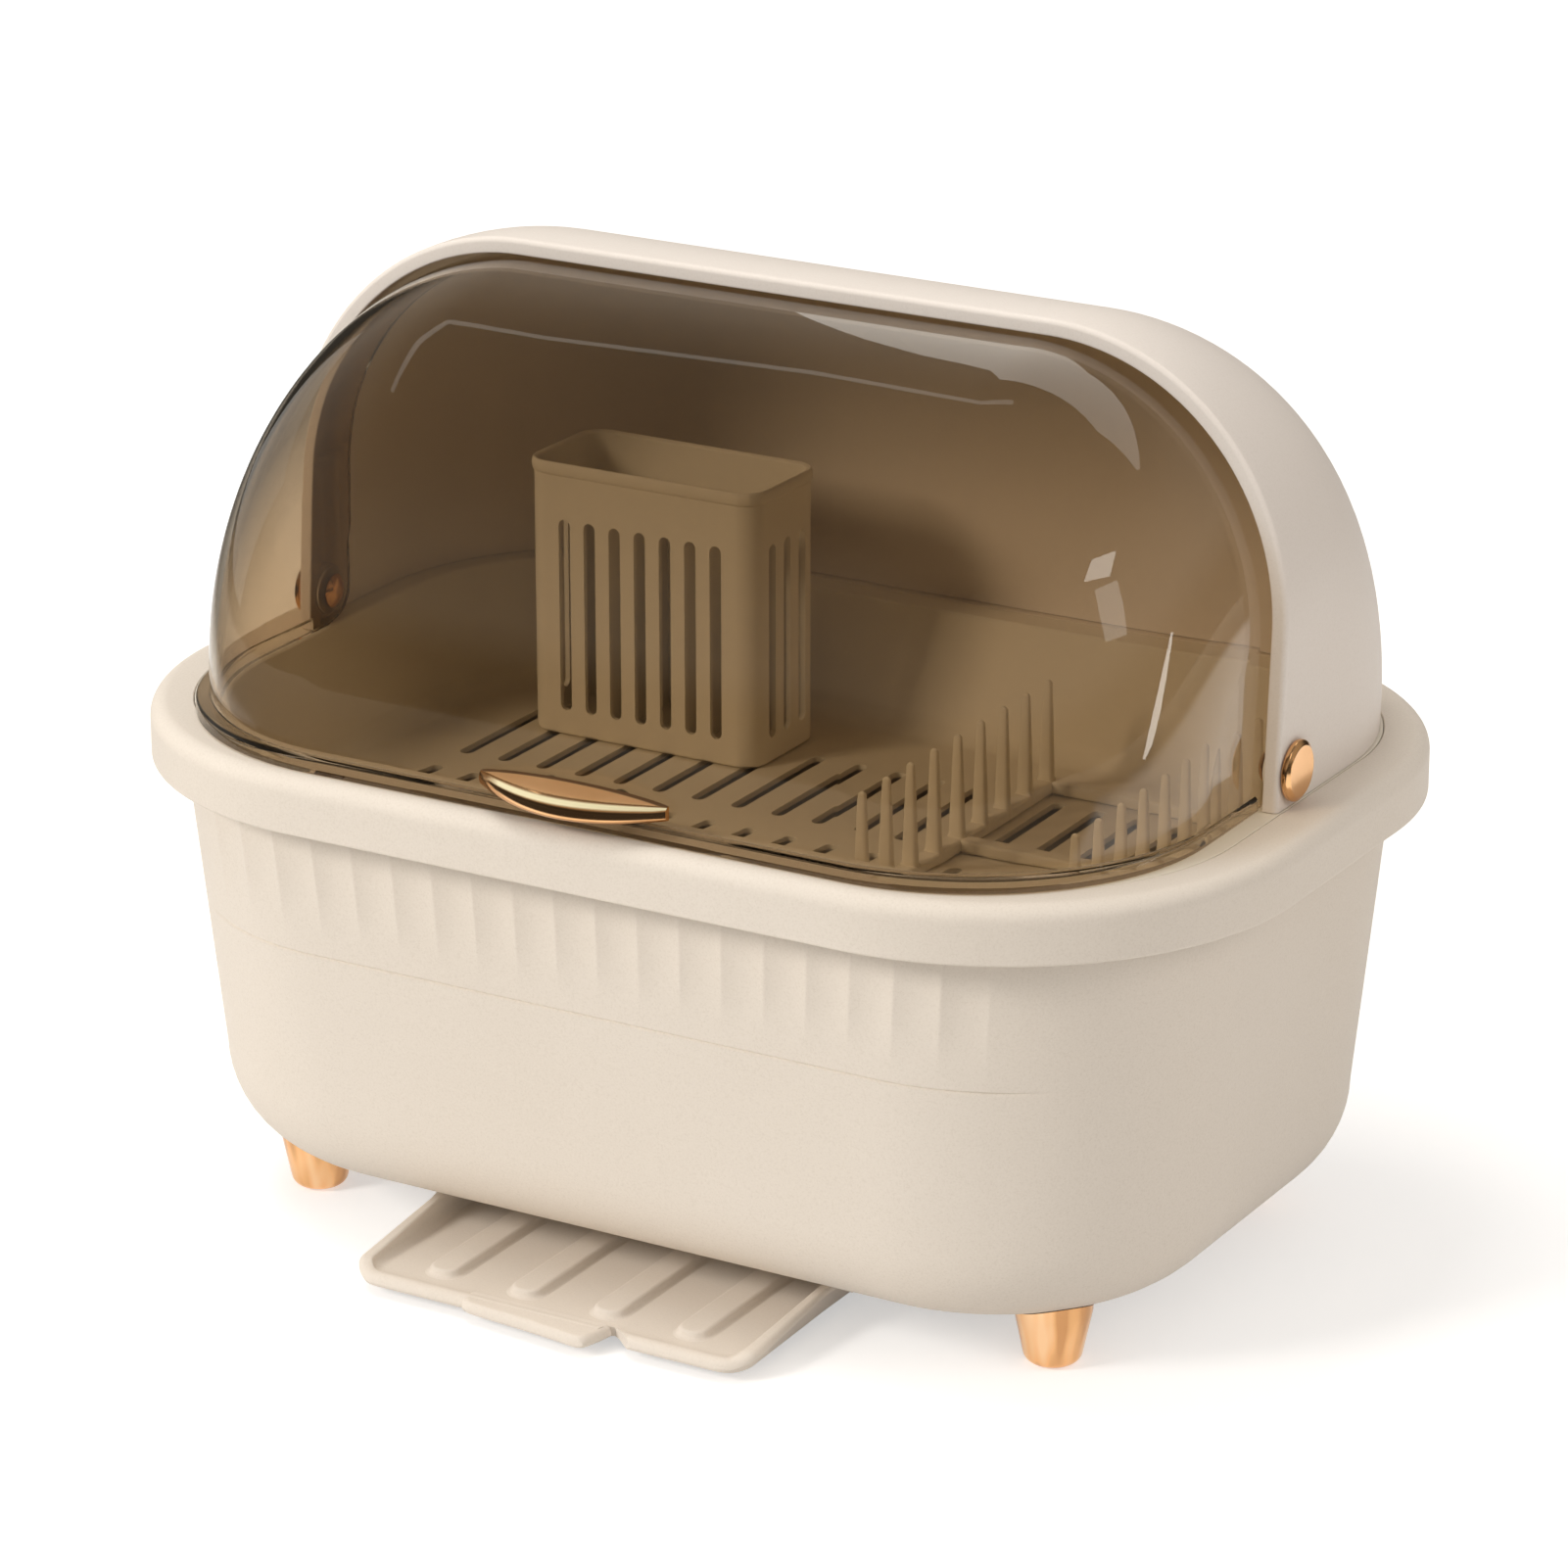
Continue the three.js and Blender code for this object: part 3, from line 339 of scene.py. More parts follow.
class Nodes:
    """The node tree of a material or world, with short ways to add and join nodes."""

    def __init__(self, block, shader="Principled BSDF"):
        block.use_nodes = True
        self.block = block
        self.tree = block.node_tree
        self.shader = self.tree.nodes[shader]
        self.coordinates = self.add("ShaderNodeTexCoord").outputs
        self.place = self.coordinates["Object"]

    def add(self, kind, **values):
        node = self.tree.nodes.new(kind)
        for key, value in values.items():
            if hasattr(node, key):
                setattr(node, key, value)
            else:
                node.inputs[key].default_value = value
        return node

    def link(self, source, target):
        self.tree.links.new(source, target)

    def feed(self, socket, value):
        """Links a socket to another one or sets its own value."""
        if isinstance(value, bpy.types.NodeSocket):
            self.link(value, socket)
        elif socket.type == "RGBA":
            socket.default_value = (*value, 1)
        else:
            socket.default_value = value

    def set(self, **values):
        """Feeds the shader's inputs, whose names have _ for a space here."""
        for key, value in values.items():
            self.feed(self.shader.inputs[key.replace("_", " ")], value)

    def split(self, vector):
        node = self.add("ShaderNodeSeparateXYZ")
        self.link(vector, node.inputs[0])
        return node.outputs

    def noise(self, scale, detail=2.0, roughness=0.5, stretch=None):
        node = self.add("ShaderNodeTexNoise", Scale=scale, Detail=detail, Roughness=roughness)
        place = self.place
        if stretch:
            scaler = self.add("ShaderNodeMapping", Scale=stretch)
            self.link(place, scaler.inputs["Vector"])
            place = scaler.outputs["Vector"]
        self.link(place, node.inputs["Vector"])
        return node.outputs["Fac"]

    def ramp(self, source, *stops):
        """A colour ramp, whose stops are pairs of a place and a colour or grey."""
        node = self.add("ShaderNodeValToRGB")
        elements = node.color_ramp.elements
        while len(elements) < len(stops):
            elements.new(0.5)
        for element, (where, value) in zip(elements, stops):
            element.position = where
            element.color = (*value, 1) if isinstance(value, tuple) else (value, value, value, 1)
        self.link(source, node.inputs["Fac"])
        return node.outputs["Color"]

    def mix(self, share, a, b):
        node = self.add("ShaderNodeMix", data_type="RGBA")
        colours = [s for s in node.inputs if s.type == "RGBA"]
        for socket, value in zip((node.inputs["Factor"], *colours), (share, a, b)):
            self.feed(socket, value)
        return next(s for s in node.outputs if s.type == "RGBA")

    def math(self, kind, a, b, node="ShaderNodeMath"):
        node = self.add(node, operation=kind)
        for socket, value in zip(node.inputs, (a, b)):
            self.feed(socket, value)
        return node.outputs["Value"]

    def span(self, source, low, high, start=0.0, end=1.0):
        """Goes from low to high while the source goes from start to end."""
        node = self.add("ShaderNodeMapRange")
        names = ("Value", "From Min", "From Max", "To Min", "To Max")
        for name, value in zip(names, (source, start, end, low, high)):
            self.feed(node.inputs[name], value)
        return node.outputs["Result"]

    def bump(self, height, distance, strength, under=None):
        node = self.add("ShaderNodeBump", Distance=distance, Strength=strength)
        self.link(height, node.inputs["Height"])
        if under is not None:
            self.link(under, node.inputs["Normal"])
        return node.outputs["Normal"]


def new_material(name):
    return Nodes(bpy.data.materials.new(name))


def shade(colour, *factors):
    """A colour times its factors, with no part over 1."""
    return tuple(min(1, c * f) for c, f in zip(colour, factors))


def moulded(name, colour, rough, speckle, grain):
    """Moulded plastic with a fine speckle, an eggshell grain, worn edges and faint flow clouds."""
    n = new_material(name)
    base = n.ramp(n.noise(7, 3), (0.3, shade(colour, 0.972, 0.966, 0.955)), (0.7, colour))
    flecks = n.noise(1150, 2, 0.7)
    dark = n.ramp(flecks, (0.34, 1.0), (0.46, 0.0))
    pale = n.ramp(flecks, (0.54, 0.0), (0.66, 1.0))
    base = n.mix(n.span(dark, 0, 0.34 * speckle), base, shade(colour, 0.70, 0.66, 0.60))
    base = n.mix(n.span(pale, 0, 0.5 * speckle), base, shade(colour, 1.08, 1.09, 1.1))
    edges = n.add("ShaderNodeNewGeometry").outputs["Pointiness"]
    worn = n.span(edges, 0, 0.35, 0.52, 0.62)
    base = n.mix(worn, base, shade(colour, 1.05, 1.06, 1.08))
    coarse = n.bump(n.noise(420, 2), 0.00012, 0.35 * grain)
    fine = n.bump(n.noise(1500, 2), 0.00008, 0.6 * grain, coarse)
    gloss = n.span(n.noise(240, 2), rough - 0.07, rough + 0.07)
    n.set(Base_Color=base, Roughness=gloss, Specular_IOR_Level=0.4, Normal=fine)
    return n.block


GOLD = (0.86, 0.50, 0.24)


def gold(name, rough=0.16, painted_reflection=0.0, handle=False):
    """Rose gold plating with fine polishing marks and slight stains. The handle has a brushed top,
    a painted highlight along the upper edge of its nose and painted shade along its back edge,
    where it meets the visor. The feet have painted reflections in upright pale and dark bands."""
    n = new_material(name)
    base = n.ramp(n.noise(38, 3), (0.35, shade(GOLD, 0.90, 0.86, 0.80)), (0.65, GOLD))
    metallic = 1.0
    if painted_reflection:
        # Painted reflection: pale and dark upright bands in the base colour, for what a polished
        # foot mirrors.
        painted_reflection_bands = n.noise(150, 1, 0.5, (1, 1, 0.04))
        dark, pale = shade(GOLD, 0.55, 0.45, 0.4), (1.0, 0.68, 0.42)
        base = n.mix(n.span(painted_reflection_bands, painted_reflection, 0.0, 0.38, 0.52), base, dark)
        base = n.mix(n.span(painted_reflection_bands, 0.0, painted_reflection, 0.52, 0.70), base, pale)
    marks = n.noise(420, 2, 0.6)
    gloss = n.span(marks, rough - 0.05, rough + 0.07)
    if handle:
        facing = n.split(n.coordinates["Normal"])["Z"]
        place = n.split(n.place)
        top = n.span(facing, 0.0, 1.0, 0.88, 0.96)
        # Painted highlight: a pale cream band along the upper edge of the nose, fading out towards
        # the left tip.
        edge = n.ramp(facing, (0.34, 0.0), (0.50, 1.0), (0.74, 1.0), (0.87, 0.0))
        edge = n.math("MULTIPLY", edge, n.span(place["X"], 0.0, 1.0, -0.032, -0.024))
        base = n.mix(edge, base, (1.0, 0.90, 0.58))
        # Painted shade: a dark strip along the back of the top face, where the handle meets the
        # visor.
        painted_joint_shade = n.math("MULTIPLY", top, n.span(place["Y"], 0.0, 0.85, -0.1446, -0.1438))
        base = n.mix(painted_joint_shade, base, (0.08, 0.04, 0.02))
        # The brushed top and the painted highlight band have less metal.
        metallic = n.math("SUBTRACT", n.span(top, 1.0, 0.5), n.span(edge, 0.0, 0.75))
        gloss = n.math("ADD", gloss, n.span(top, 0.0, 0.3))
    relief = n.bump(marks, 0.00004, 0.25)
    n.set(Base_Color=base, Metallic=metallic, Roughness=gloss, Normal=relief)
    return n.block


def zinc(name):
    n = new_material(name)
    spangle = n.noise(700, 2)
    tone = n.ramp(spangle, (0.35, (0.50, 0.52, 0.53)), (0.65, (0.68, 0.69, 0.70)))
    n.set(Base_Color=tone, Metallic=1.0, Roughness=n.span(spangle, 0.28, 0.48),
          Normal=n.bump(spangle, 0.00005, 0.4))
    return n.block


SMOKE_DARK = (0.64, 0.535, 0.405)
SMOKE_PALE = (0.69, 0.585, 0.455)
SMOKE_LIGHT = (0.85, 0.80, 0.72)  # what a lamp keeps through one wall


def smoked(name):
    """Clear brown plastic, with faint wipe marks in its gloss. Lamps reach what is behind it."""
    n = new_material(name)
    n.set(Base_Color=n.ramp(n.noise(3, 2), (0.3, SMOKE_DARK), (0.7, SMOKE_PALE)),
          Transmission_Weight=1.0, IOR=1.46,
          Roughness=n.span(n.noise(9, 3, 0.6, (1, 1, 4)), 0.0, 0.035, 0.4, 0.75),
          Normal=n.bump(n.noise(14, 2), 0.0004, 0.12))
    clear = n.add("ShaderNodeBsdfTransparent", Color=(*SMOKE_LIGHT, 1))
    mixed = n.add("ShaderNodeMixShader")
    n.link(n.add("ShaderNodeLightPath").outputs["Is Shadow Ray"], mixed.inputs[0])
    n.link(n.shader.outputs["BSDF"], mixed.inputs[1])
    n.link(clear.outputs["BSDF"], mixed.inputs[2])
    n.link(mixed.outputs["Shader"], n.tree.nodes["Material Output"].inputs["Surface"])
    return n.block


cream = moulded("cream speckled plastic", (0.84, 0.765, 0.675), 0.58, 0.5, 0.6)
hood_cream = moulded("hood plastic", (0.855, 0.785, 0.72), 0.5, 0.3, 0.45)
tray_cream = moulded("tray plastic", (0.88, 0.80, 0.71), 0.55, 0.35, 0.6)
inner_cream = moulded("inner plastic", (0.86, 0.80, 0.69), 0.42, 0.12, 0.35)
rose_gold = gold("rose gold plating")
# The feet's plating has painted reflections in pale and dark upright bands.
foot_gold = gold("foot plating", painted_reflection=0.6)
# The handle's plating has a painted highlight on its nose and painted shade along its back.
handle_gold = gold("handle plating", rough=0.12, handle=True)
zinc_plate = zinc("zinc plating")
smoke = smoked("smoked plastic")


# Tub

RIM = (225.0, 156.9, 114.0)  # half width, half depth and corner radius, as in all such triples
RIM_TOP = 192.1
RIM_UNDER = 170.9
RIM_WALL = 2.4
RIM_EDGE = 6.5
TUB_TOP = (209.2, 141.1)
TUB_RADIUS = 90.0
TUB_TAPER = 8.4
TUB_FLOOR = 19.7
TUB_FILLET = 39.0
TUB_CURVE_TOP = TUB_FLOOR + TUB_FILLET
TUB_WALL = 3.0
SEAT_INSET = 3.4  # of the step that carries the basket's flange
SEAT_DEPTH = 3.2
DRAIN = (0.0, -30.0)
SPOUT_DROP = 2.2
FLUTES = 19
FLUTE_PITCH = 17.0
FLUTE_CENTRE = -3.0
FLUTE_DEPTH = 1.35
FLUTE_REACH = FLUTES * FLUTE_PITCH / 2
LINE_Z = 118
FOOT_PLACES = [(-154.8, -79.7), (154.8, -79.7), (-146.8, 79.7), (146.8, 79.7)]
FOOT_NAMES = ["front_left", "front_right", "rear_left", "rear_right"]
STRAIGHT = TUB_TOP[0] - TUB_RADIUS


def tub_stops():
    """Stops round the tub, with the distance along the front for those on it and its corners. They
    are finer where the flutes are."""
    shares = (-1, -0.93, -0.78, -0.6, -0.4, -0.2, 0, 0.2, 0.4, 0.6, 0.78, 0.93)
    along = {FLUTE_CENTRE + FLUTE_REACH}
    for i in range(FLUTES):
        middle = FLUTE_CENTRE + (i - (FLUTES - 1) / 2) * FLUTE_PITCH
        along.update(np.round([middle + s * FLUTE_PITCH / 2 for s in shares], 4))
    end = STRAIGHT + TUB_RADIUS * math.pi / 2
    outer = np.arange(165, end, 3.5)
    along.update(outer, -outer, (0.0, STRAIGHT, -STRAIGHT, end, -end))
    right = sorted(a for a in along if a >= 0)
    left = sorted(a for a in along if a < 0)

    def front(a):
        turn = max(abs(a) - STRAIGHT, 0) / TUB_RADIUS
        sign = 1 if a >= 0 else -1
        share = sign * min(abs(a), STRAIGHT) / STRAIGHT
        return share, -1, sign * math.sin(turn), -math.cos(turn)

    def bend(sx, start):
        turns = np.linspace(start, start + math.pi / 2, 37)[1:]
        return [(sx, 1, math.cos(t), math.sin(t)) for t in turns]

    rest = [(1, s, 1, 0) for s in np.linspace(-1, 1, 9)[1:]] + bend(1, 0)
    rest += [(s, 1, 0, 1) for s in np.linspace(1, -1, 17)[1:]] + bend(-1, math.pi / 2)
    rest += [(-1, s, -1, 0) for s in np.linspace(1, -1, 9)[1:-1]]
    places = right + [math.inf] * len(rest) + left
    return np.array([*map(front, right), *rest, *map(front, left)]), np.array(places)


def flute_depth(places, z):
    """How far the hollows and the fine line under them go into the wall at a height."""
    side = np.where(np.isfinite(places), np.abs(places - FLUTE_CENTRE), 1e3)
    local = (places - FLUTE_CENTRE + FLUTE_REACH) / FLUTE_PITCH
    with np.errstate(invalid="ignore"):
        share = np.where(side < FLUTE_REACH - 1e-6, 2 * (local - np.floor(local)) - 1, 1)
    hollow = FLUTE_DEPTH * (1 - np.clip(share, -1, 1) ** 2) * smooth_step(z, 122, 146)
    line = 0.8 * (1 - smooth_step(side, 160, 190)) * max(0, 1 - abs(z - LINE_Z) / 0.7)
    return hollow + line


def tub_half(z):
    lean = TUB_TAPER * (RIM_UNDER - z) / (RIM_UNDER - TUB_FLOOR - TUB_FILLET)
    return TUB_TOP[0] - lean, TUB_TOP[1] - lean


def bottom_rows(stops, inset, steps=14):
    curve = TUB_FILLET - inset
    half = tub_half(TUB_CURVE_TOP)
    rows = []
    for t in np.linspace(0, math.pi / 2, steps + 1):
        draw = inset + curve * (1 - math.sin(t))
        rows.append(outline(stops, *half, TUB_RADIUS, TUB_CURVE_TOP - curve * math.cos(t), draw))
    return rows


def circle_like(row, radius, centre, z):
    """A circle whose points match a row of points by direction."""
    turn = np.arctan2(row[:, 1] - centre[1], row[:, 0] - centre[0])
    x, y = centre[0] + radius * np.cos(turn), centre[1] + radius * np.sin(turn)
    return np.stack([x, y, np.full(len(row), z)], 1)


def make_tub():
    stops, places = tub_stops()
    rows = bottom_rows(stops, 0)

    def wall(z, inset):
        rows.append(outline(stops, *tub_half(z), TUB_RADIUS, z, inset))

    def rim(z, inset):
        rows.append(outline(stops, *RIM, z, inset))

    levels = [*np.linspace(TUB_CURVE_TOP, 116, 8)[1:], 117.1, 117.6, LINE_Z, 118.4, 118.9]
    levels += [*np.linspace(121, 149, 13), 156, 163, 170, 177, 184, 188.5]
    for z in levels:
        wall(z, flute_depth(places, z))
    under = RIM_TOP - RIM_WALL
    wall(under, -1.0)
    rim(under, RIM_WALL + 1)
    rim(under - 1, RIM_WALL)
    rim(RIM_UNDER + 1, RIM_WALL)
    lip = RIM_WALL / 2
    for c, s in arc(4):
        rim(RIM_UNDER + s * lip, RIM_WALL - lip * c)
    for c, s in arc(4)[::-1]:
        rim(RIM_UNDER + s * lip, lip * c)
    for z in np.linspace(RIM_UNDER + 4, RIM_TOP - 9, 3):
        rim(z, 0.0)
    for c, s in arc(9):
        rim(RIM_TOP - RIM_EDGE * s, RIM_EDGE * c)
    for inset in (9, 12, 15):
        rim(RIM_TOP, inset)
    seat = [v - SEAT_INSET for v in (*TUB_TOP, TUB_RADIUS)]
    ledge = RIM_TOP - SEAT_DEPTH
    step = [(RIM_TOP - 0.3 * (1 - s), -0.3 * (1 - c)) for c, s in arc(3)]  # down to the seat
    step += [(ledge, 0.0), (ledge, 3.3), (ledge - 0.5, 3.8)]
    rows += [outline(stops, *seat, z, inset) for z, inset in step]
    wall(150, TUB_WALL)
    wall(100, TUB_WALL)
    rows += bottom_rows(stops, TUB_WALL)[::-1]
    inner = rows[-1]
    floor, spout = TUB_FLOOR + TUB_WALL, TUB_FLOOR - SPOUT_DROP
    drain = [(14.5, floor), (12.2, floor - 0.5), (11.0, floor - 1.4), (11.0, spout + 0.4)]
    drain += [(11.4, spout), (12.6, spout), (13.0, spout + 0.4), (13.0, TUB_FLOOR)]
    rows += [circle_like(inner, radius, DRAIN, z) for radius, z in drain]
    skin = Skin()
    skin.rows(rows, ring=True)
    boss = [(0, 20.5), (8, 20.5), (8, 31.7), (2.5, 31.7), (2.5, 26), (0, 26)]
    for x, y in FOOT_PLACES:
        skin.add(lathe(rounded(boss, 0.8), 32), (x, y, 0))
    return make_object("tub", skin)


dress(make_tub(), "base", cream, "base_tub")


# Feet

FOOT_TOP = 16.5  # where the taper ends and the top starts to follow the tub


def tub_bottom_height(x, y):
    """Height of the tub's outer bottom over a point of the table."""
    half = tub_half(TUB_CURVE_TOP)
    dx = max(abs(x) - (half[0] - TUB_RADIUS), 0)
    dy = max(abs(y) - (half[1] - TUB_RADIUS), 0)
    out = math.hypot(dx, dy) - (TUB_RADIUS - TUB_FILLET)
    if out <= 0:
        return TUB_FLOOR
    out = min(out, TUB_FILLET * 0.999)
    return TUB_CURVE_TOP - math.sqrt(TUB_FILLET ** 2 - out ** 2)


def make_foot(name, x, y):
    """A tapered foot with a soft toe. Its top follows the tub's bottom curve."""
    profile = rounded([(0, 0), (9.9, 0), (13.3, FOOT_TOP), (13.4, 17)], 4.6, 7)[1:-2]
    turns = np.linspace(0, 2 * math.pi, 64, endpoint=False)
    rows = turned(profile, 64)

    def add(radii, levels):
        steps = zip(radii, turns, levels)
        rows.append([(r * math.cos(t), r * math.sin(t), z) for r, t, z in steps])

    def under_tub(radius):
        round_it = [(x + radius * math.cos(t), y + radius * math.sin(t)) for t in turns]
        return [tub_bottom_height(*point) - GAP for point in round_it]

    for share in (0.0, 0.35, 0.7, 1.0):
        levels = [FOOT_TOP + (top - FOOT_TOP) * share for top in under_tub(14)]
        add([min(13.3 + 0.2 * (z - FOOT_TOP), 14.1) for z in levels], levels)
    for radius in (9.0, 4.0):
        add([radius] * 64, under_tub(radius))
    return make_object(name, placed(capped(rows), (x, y, 0)))


for name, (x, y) in zip(FOOT_NAMES, FOOT_PLACES):
    foot = make_foot(f"tapered_foot_{name}", x, y)
    dress(foot, "base", foot_gold, f"foot_{name}")


# Screws

TRAY_MIDDLE = (-9.0, -55.4)
RAIL_SCREW = (93.55, 60.0, 23.0)


def screw_skin(length):
    """A threaded screw that points down, with its pan head from 0 up."""
    profile = [(0, -length), (1.2, -length), (2.0, -length + 0.8)]
    turns = int(max(2, length - 2))
    for k in range(turns):
        z = -length + 0.8 + (length - 1.6) * k / turns
        profile += [(2.0, z + 0.1), (1.65, z + 0.45)]
    profile += [(2.0, -0.4), (2.0, 0), (3.7, 0), (4.0, 0.3), (4.0, 1.1)]
    profile += [(3.6, 1.6), (2.8, 2.0), (1.6, 2.2), (0, 2.2)]
    return lathe(profile, 32)


def make_screw(name, length, turn, place, origin=RACK):
    obj = make_object(name, placed(screw_skin(length), place, turn), origin)
    groove = soft_box((-2.1, -0.42, 1.0), (2.1, 0.42, 3.0), 0.1, 1)
    shift = np.array(place) + origin - RACK
    for across in (UPRIGHT, QUARTER):
        cut(obj, placed(groove, shift, turn @ across))
    return obj


for name, (x, y) in zip(FOOT_NAMES, FOOT_PLACES):
    screw = make_screw(f"screw_foot_{name}", 21.3, UPRIGHT, (x, y, 32.0))
    dress(screw, "base", zinc_plate, f"foot_screw_{name}")
for side, sx in SIDES:
    for end, sy in (("front", -1), ("rear", 1)):
        place = (TRAY_MIDDLE[0] + sx * RAIL_SCREW[0], sy * RAIL_SCREW[1], RAIL_SCREW[2])
        screw = make_screw(f"screw_rail_{end}_{side}", 5.8, UPRIGHT, place)
        dress(screw, "base", zinc_plate, f"rail_screw_{end}_{side}")


# Runners


def make_rail(name, side):
    points = [(85.8, 19.4), (98.8, 19.4), (98.8, 17.2), (88.3, 17.2)]
    points += [(88.3, 11.4), (83.4, 11.4), (83.4, 13.4), (85.8, 13.4)]
    loop = rounded(points + points[:2], 0.6, 2)[1:-1]
    rows = [[(side * x, y, z) for x, z in loop] for y in (-88, -87.5, 87.5, 88)]
    return make_object(name, placed(capped(rows), (TRAY_MIDDLE[0], 0, 0)))


for name, side in SIDES:
    rail = make_rail(f"runner_{name}", side)
    dress(rail, "base", tray_cream, f"tray_rail_{name}")


# Drip tray

TRAY_HALF = (81.5, 100.0)
TRAY_FRONT = -155.4
TRAY_RADIUS = 11.0
TRAY_LOW = 3.5
TRAY_FLOOR = 7.0
TRAY_SIDE_TOP = 16.2
TRAY_FRONT_TOP = 8.4
TRAY_FLANGE = 3.5
TRAY_NARROW = 1.6  # the flange's reach where it has to pass beside the runners' shelves
RIB_PITCH = 34.6


def tray_dish():
    """The dish of the tray. Its side walls slope down to the front corners, and its floor runs out
    over a thick rounded front."""
    stops = outline_stops(29, 25, 20)
    nx, ny = stops[:, 2], stops[:, 3]
    turn = np.degrees(np.arctan2(np.abs(nx), -ny))
    at_front = (stops[:, 1] <= -0.999) & (ny <= 0)
    past = (stops[:, 1] + 1) * (TRAY_HALF[1] - TRAY_RADIUS)
    slope = 0.3 + 0.7 * np.clip(past / 52, 0, 1)
    climb = np.where(at_front, 0.3 * smooth_step(turn, 30, 85), slope)
    top = TRAY_FRONT_TOP + (TRAY_SIDE_TOP - TRAY_FRONT_TOP) * climb
    side_reach = TRAY_NARROW + (TRAY_FLANGE - TRAY_NARROW) * smooth_step(past, 48, 56)
    reach = np.where(at_front, TRAY_NARROW * smooth_step(turn, 35, 90), side_reach)
    reach = reach * np.where(ny > 0.001, 0.0, smooth_step(-past, -178, -166))
    rows = []

    def add(z, inset):
        rows.append(outline(stops, *TRAY_HALF, TRAY_RADIUS, z, inset, TRAY_MIDDLE))

    def between(front, side):
        return front + (side - front) * climb

    draft = between(0.4, 2.4)
    for c, s in arc(4)[::-1]:
        add(TRAY_LOW + 1.4 * s, draft + 1.4 * c)
    add(top - between(3.2, 2.3), 0.0)
    add(top - between(3.1, 2.1), -reach)
    soft = between(3.0, 1.3)
    for c, s in arc(6):
        add(top - soft * s, -reach + soft * c)
    drop = between(0.2, 1.2)
    edge = between(4.6, 2.3)
    for c, s in arc(4)[::-1]:
        add(top - drop * s, edge - between(1.4, 1.0) * c)
    ramp = between(6.2, 2.2)
    fall = np.minimum(top - drop - 0.02 - TRAY_FLOOR, 2.4)
    for c, s in arc(6):
        add(TRAY_FLOOR + fall * s, edge + 0.05 + ramp * c)
    return capped(rows)


def tray_ribs():
    front, back = TRAY_FRONT + 13, TRAY_FRONT + 180
    levels = [(-1.7, 6.5), (-1.5, 7.03), (-0.7, 7.2), (-0.1, 7.7)]
    levels += [(0.4, 8.8), (0.7, 9.3), (1.2, 9.65), (2.0, 9.8)]
    stops = outline_stops(3, 3, 6)
    half = (6.3, (back - front) / 2, 5.6)
    skin = Skin()
    for i in range(4):
        centre = (TRAY_MIDDLE[0] + (i - 1.5) * RIB_PITCH, (front + back) / 2)
        skin.add(capped([outline(stops, *half, z, inset, centre) for inset, z in levels]))
    return skin


def prism(plan, levels, middle):
    """An upright piece over a plan, from pairs of shrink towards its middle and height."""
    away = np.array(plan) - middle
    size = np.linalg.norm(away, axis=1, keepdims=True)
    return capped([[(x, y, z) for x, y in middle + away * (1 - shrink / size)]
                   for shrink, z in levels])


def tray_lip():
    """The pull lip, which stands out further at its right end."""
    plan = [(-43.5, -149), (-43.0, -154.6), (-41.6, -156.6), (-38.5, -157.9), (-30, -158.9),
            (-15, -160.4), (0, -161.9), (6, -162.6), (10.4, -163.0), (12.4, -162.2),
            (13.4, -160.2), (15.0, -154.6), (16.0, -149)]
    low, top = TRAY_LOW + 0.2, TRAY_FRONT_TOP - 0.15
    levels = [(1.4, low), (0.6, low + 0.25), (0.15, low + 0.8), (0, low + 1.4), (0, top - 2.6)]
    levels += [(0.3, top - 1.6), (0.9, top - 0.7), (1.7, top - 0.2), (2.7, top)]
    return prism(plan, levels, np.array((-12, -146)))


def tray_notch():
    """What the small notch beside the lip takes out of the tray's front."""
    plan = np.array([(11.4, -170), (11.6, -160), (12.8, -154.6), (14.2, -149.6), (14.8, -147.7),
                     (16.3, -146.8), (18.8, -148.2), (27.2, -155.6), (38, -168)])
    return prism(plan, [(0, 0), (0, 14)], plan.mean(0))


tray = cut(make_object("tray", tray_dish()), tray_notch())
dress(join(tray, tray_lip().add(tray_ribs())), "tray", tray_cream, "drip_tray")


# Drain basket

BASKET = (205.8, 137.7, 86.6)
BASKET_FLOOR = 145.1
BASKET_WALL = 2.2
BASKET_FLANGE = 12.3
BASKET_CURVE = 9.0
BASKET_DRAFT = 11.0
BASKET_STOPS = outline_stops(25, 13, 24)
SLOTS = 18
SLOT_PITCH = 17


def basket_row(z, inset):
    return outline(BASKET_STOPS, *BASKET, z, inset)


def basket_wall(grow, steps=8):
    curve = BASKET_CURVE + grow
    rows = []
    for t in np.linspace(0, math.pi / 2, steps + 1):
        draw = BASKET_FLANGE - grow + BASKET_DRAFT + curve * (1 - math.sin(t))
        rows.append(basket_row(BASKET_FLOOR + BASKET_CURVE - curve * math.cos(t), draw))
    return rows


def make_basket():
    rows = basket_wall(BASKET_WALL)
    under = RIM_TOP - 2.9
    rows += [basket_row(under, BASKET_FLANGE - BASKET_WALL), basket_row(under, 0.8)]
    rows += [basket_row(under + 0.5 * s, 0.3 + 0.5 * c) for c, s in arc(4)[::-1]]
    rows += [basket_row(RIM_TOP - 0.3 * s, 0.3 + 0.3 * c) for c, s in arc(4)]
    rows += [basket_row(RIM_TOP - 1.6 * s, 12.5 - 1.6 * c) for c, s in arc(5)[::-1]]
    rows += basket_wall(0)[::-1]
    slot = stadium(32, 2.75, BASKET_FLOOR - 4, BASKET_FLOOR + 2)
    slots = Skin()
    for column in range(SLOTS):
        for row in (-1, 1):
            slots.add(slot, ((column - (SLOTS - 1) / 2) * SLOT_PITCH, row * 40, 0))
    return cut(make_object("basket", capped(rows)), slots)


dress(make_basket(), "basket", inner_cream, "drain_basket")


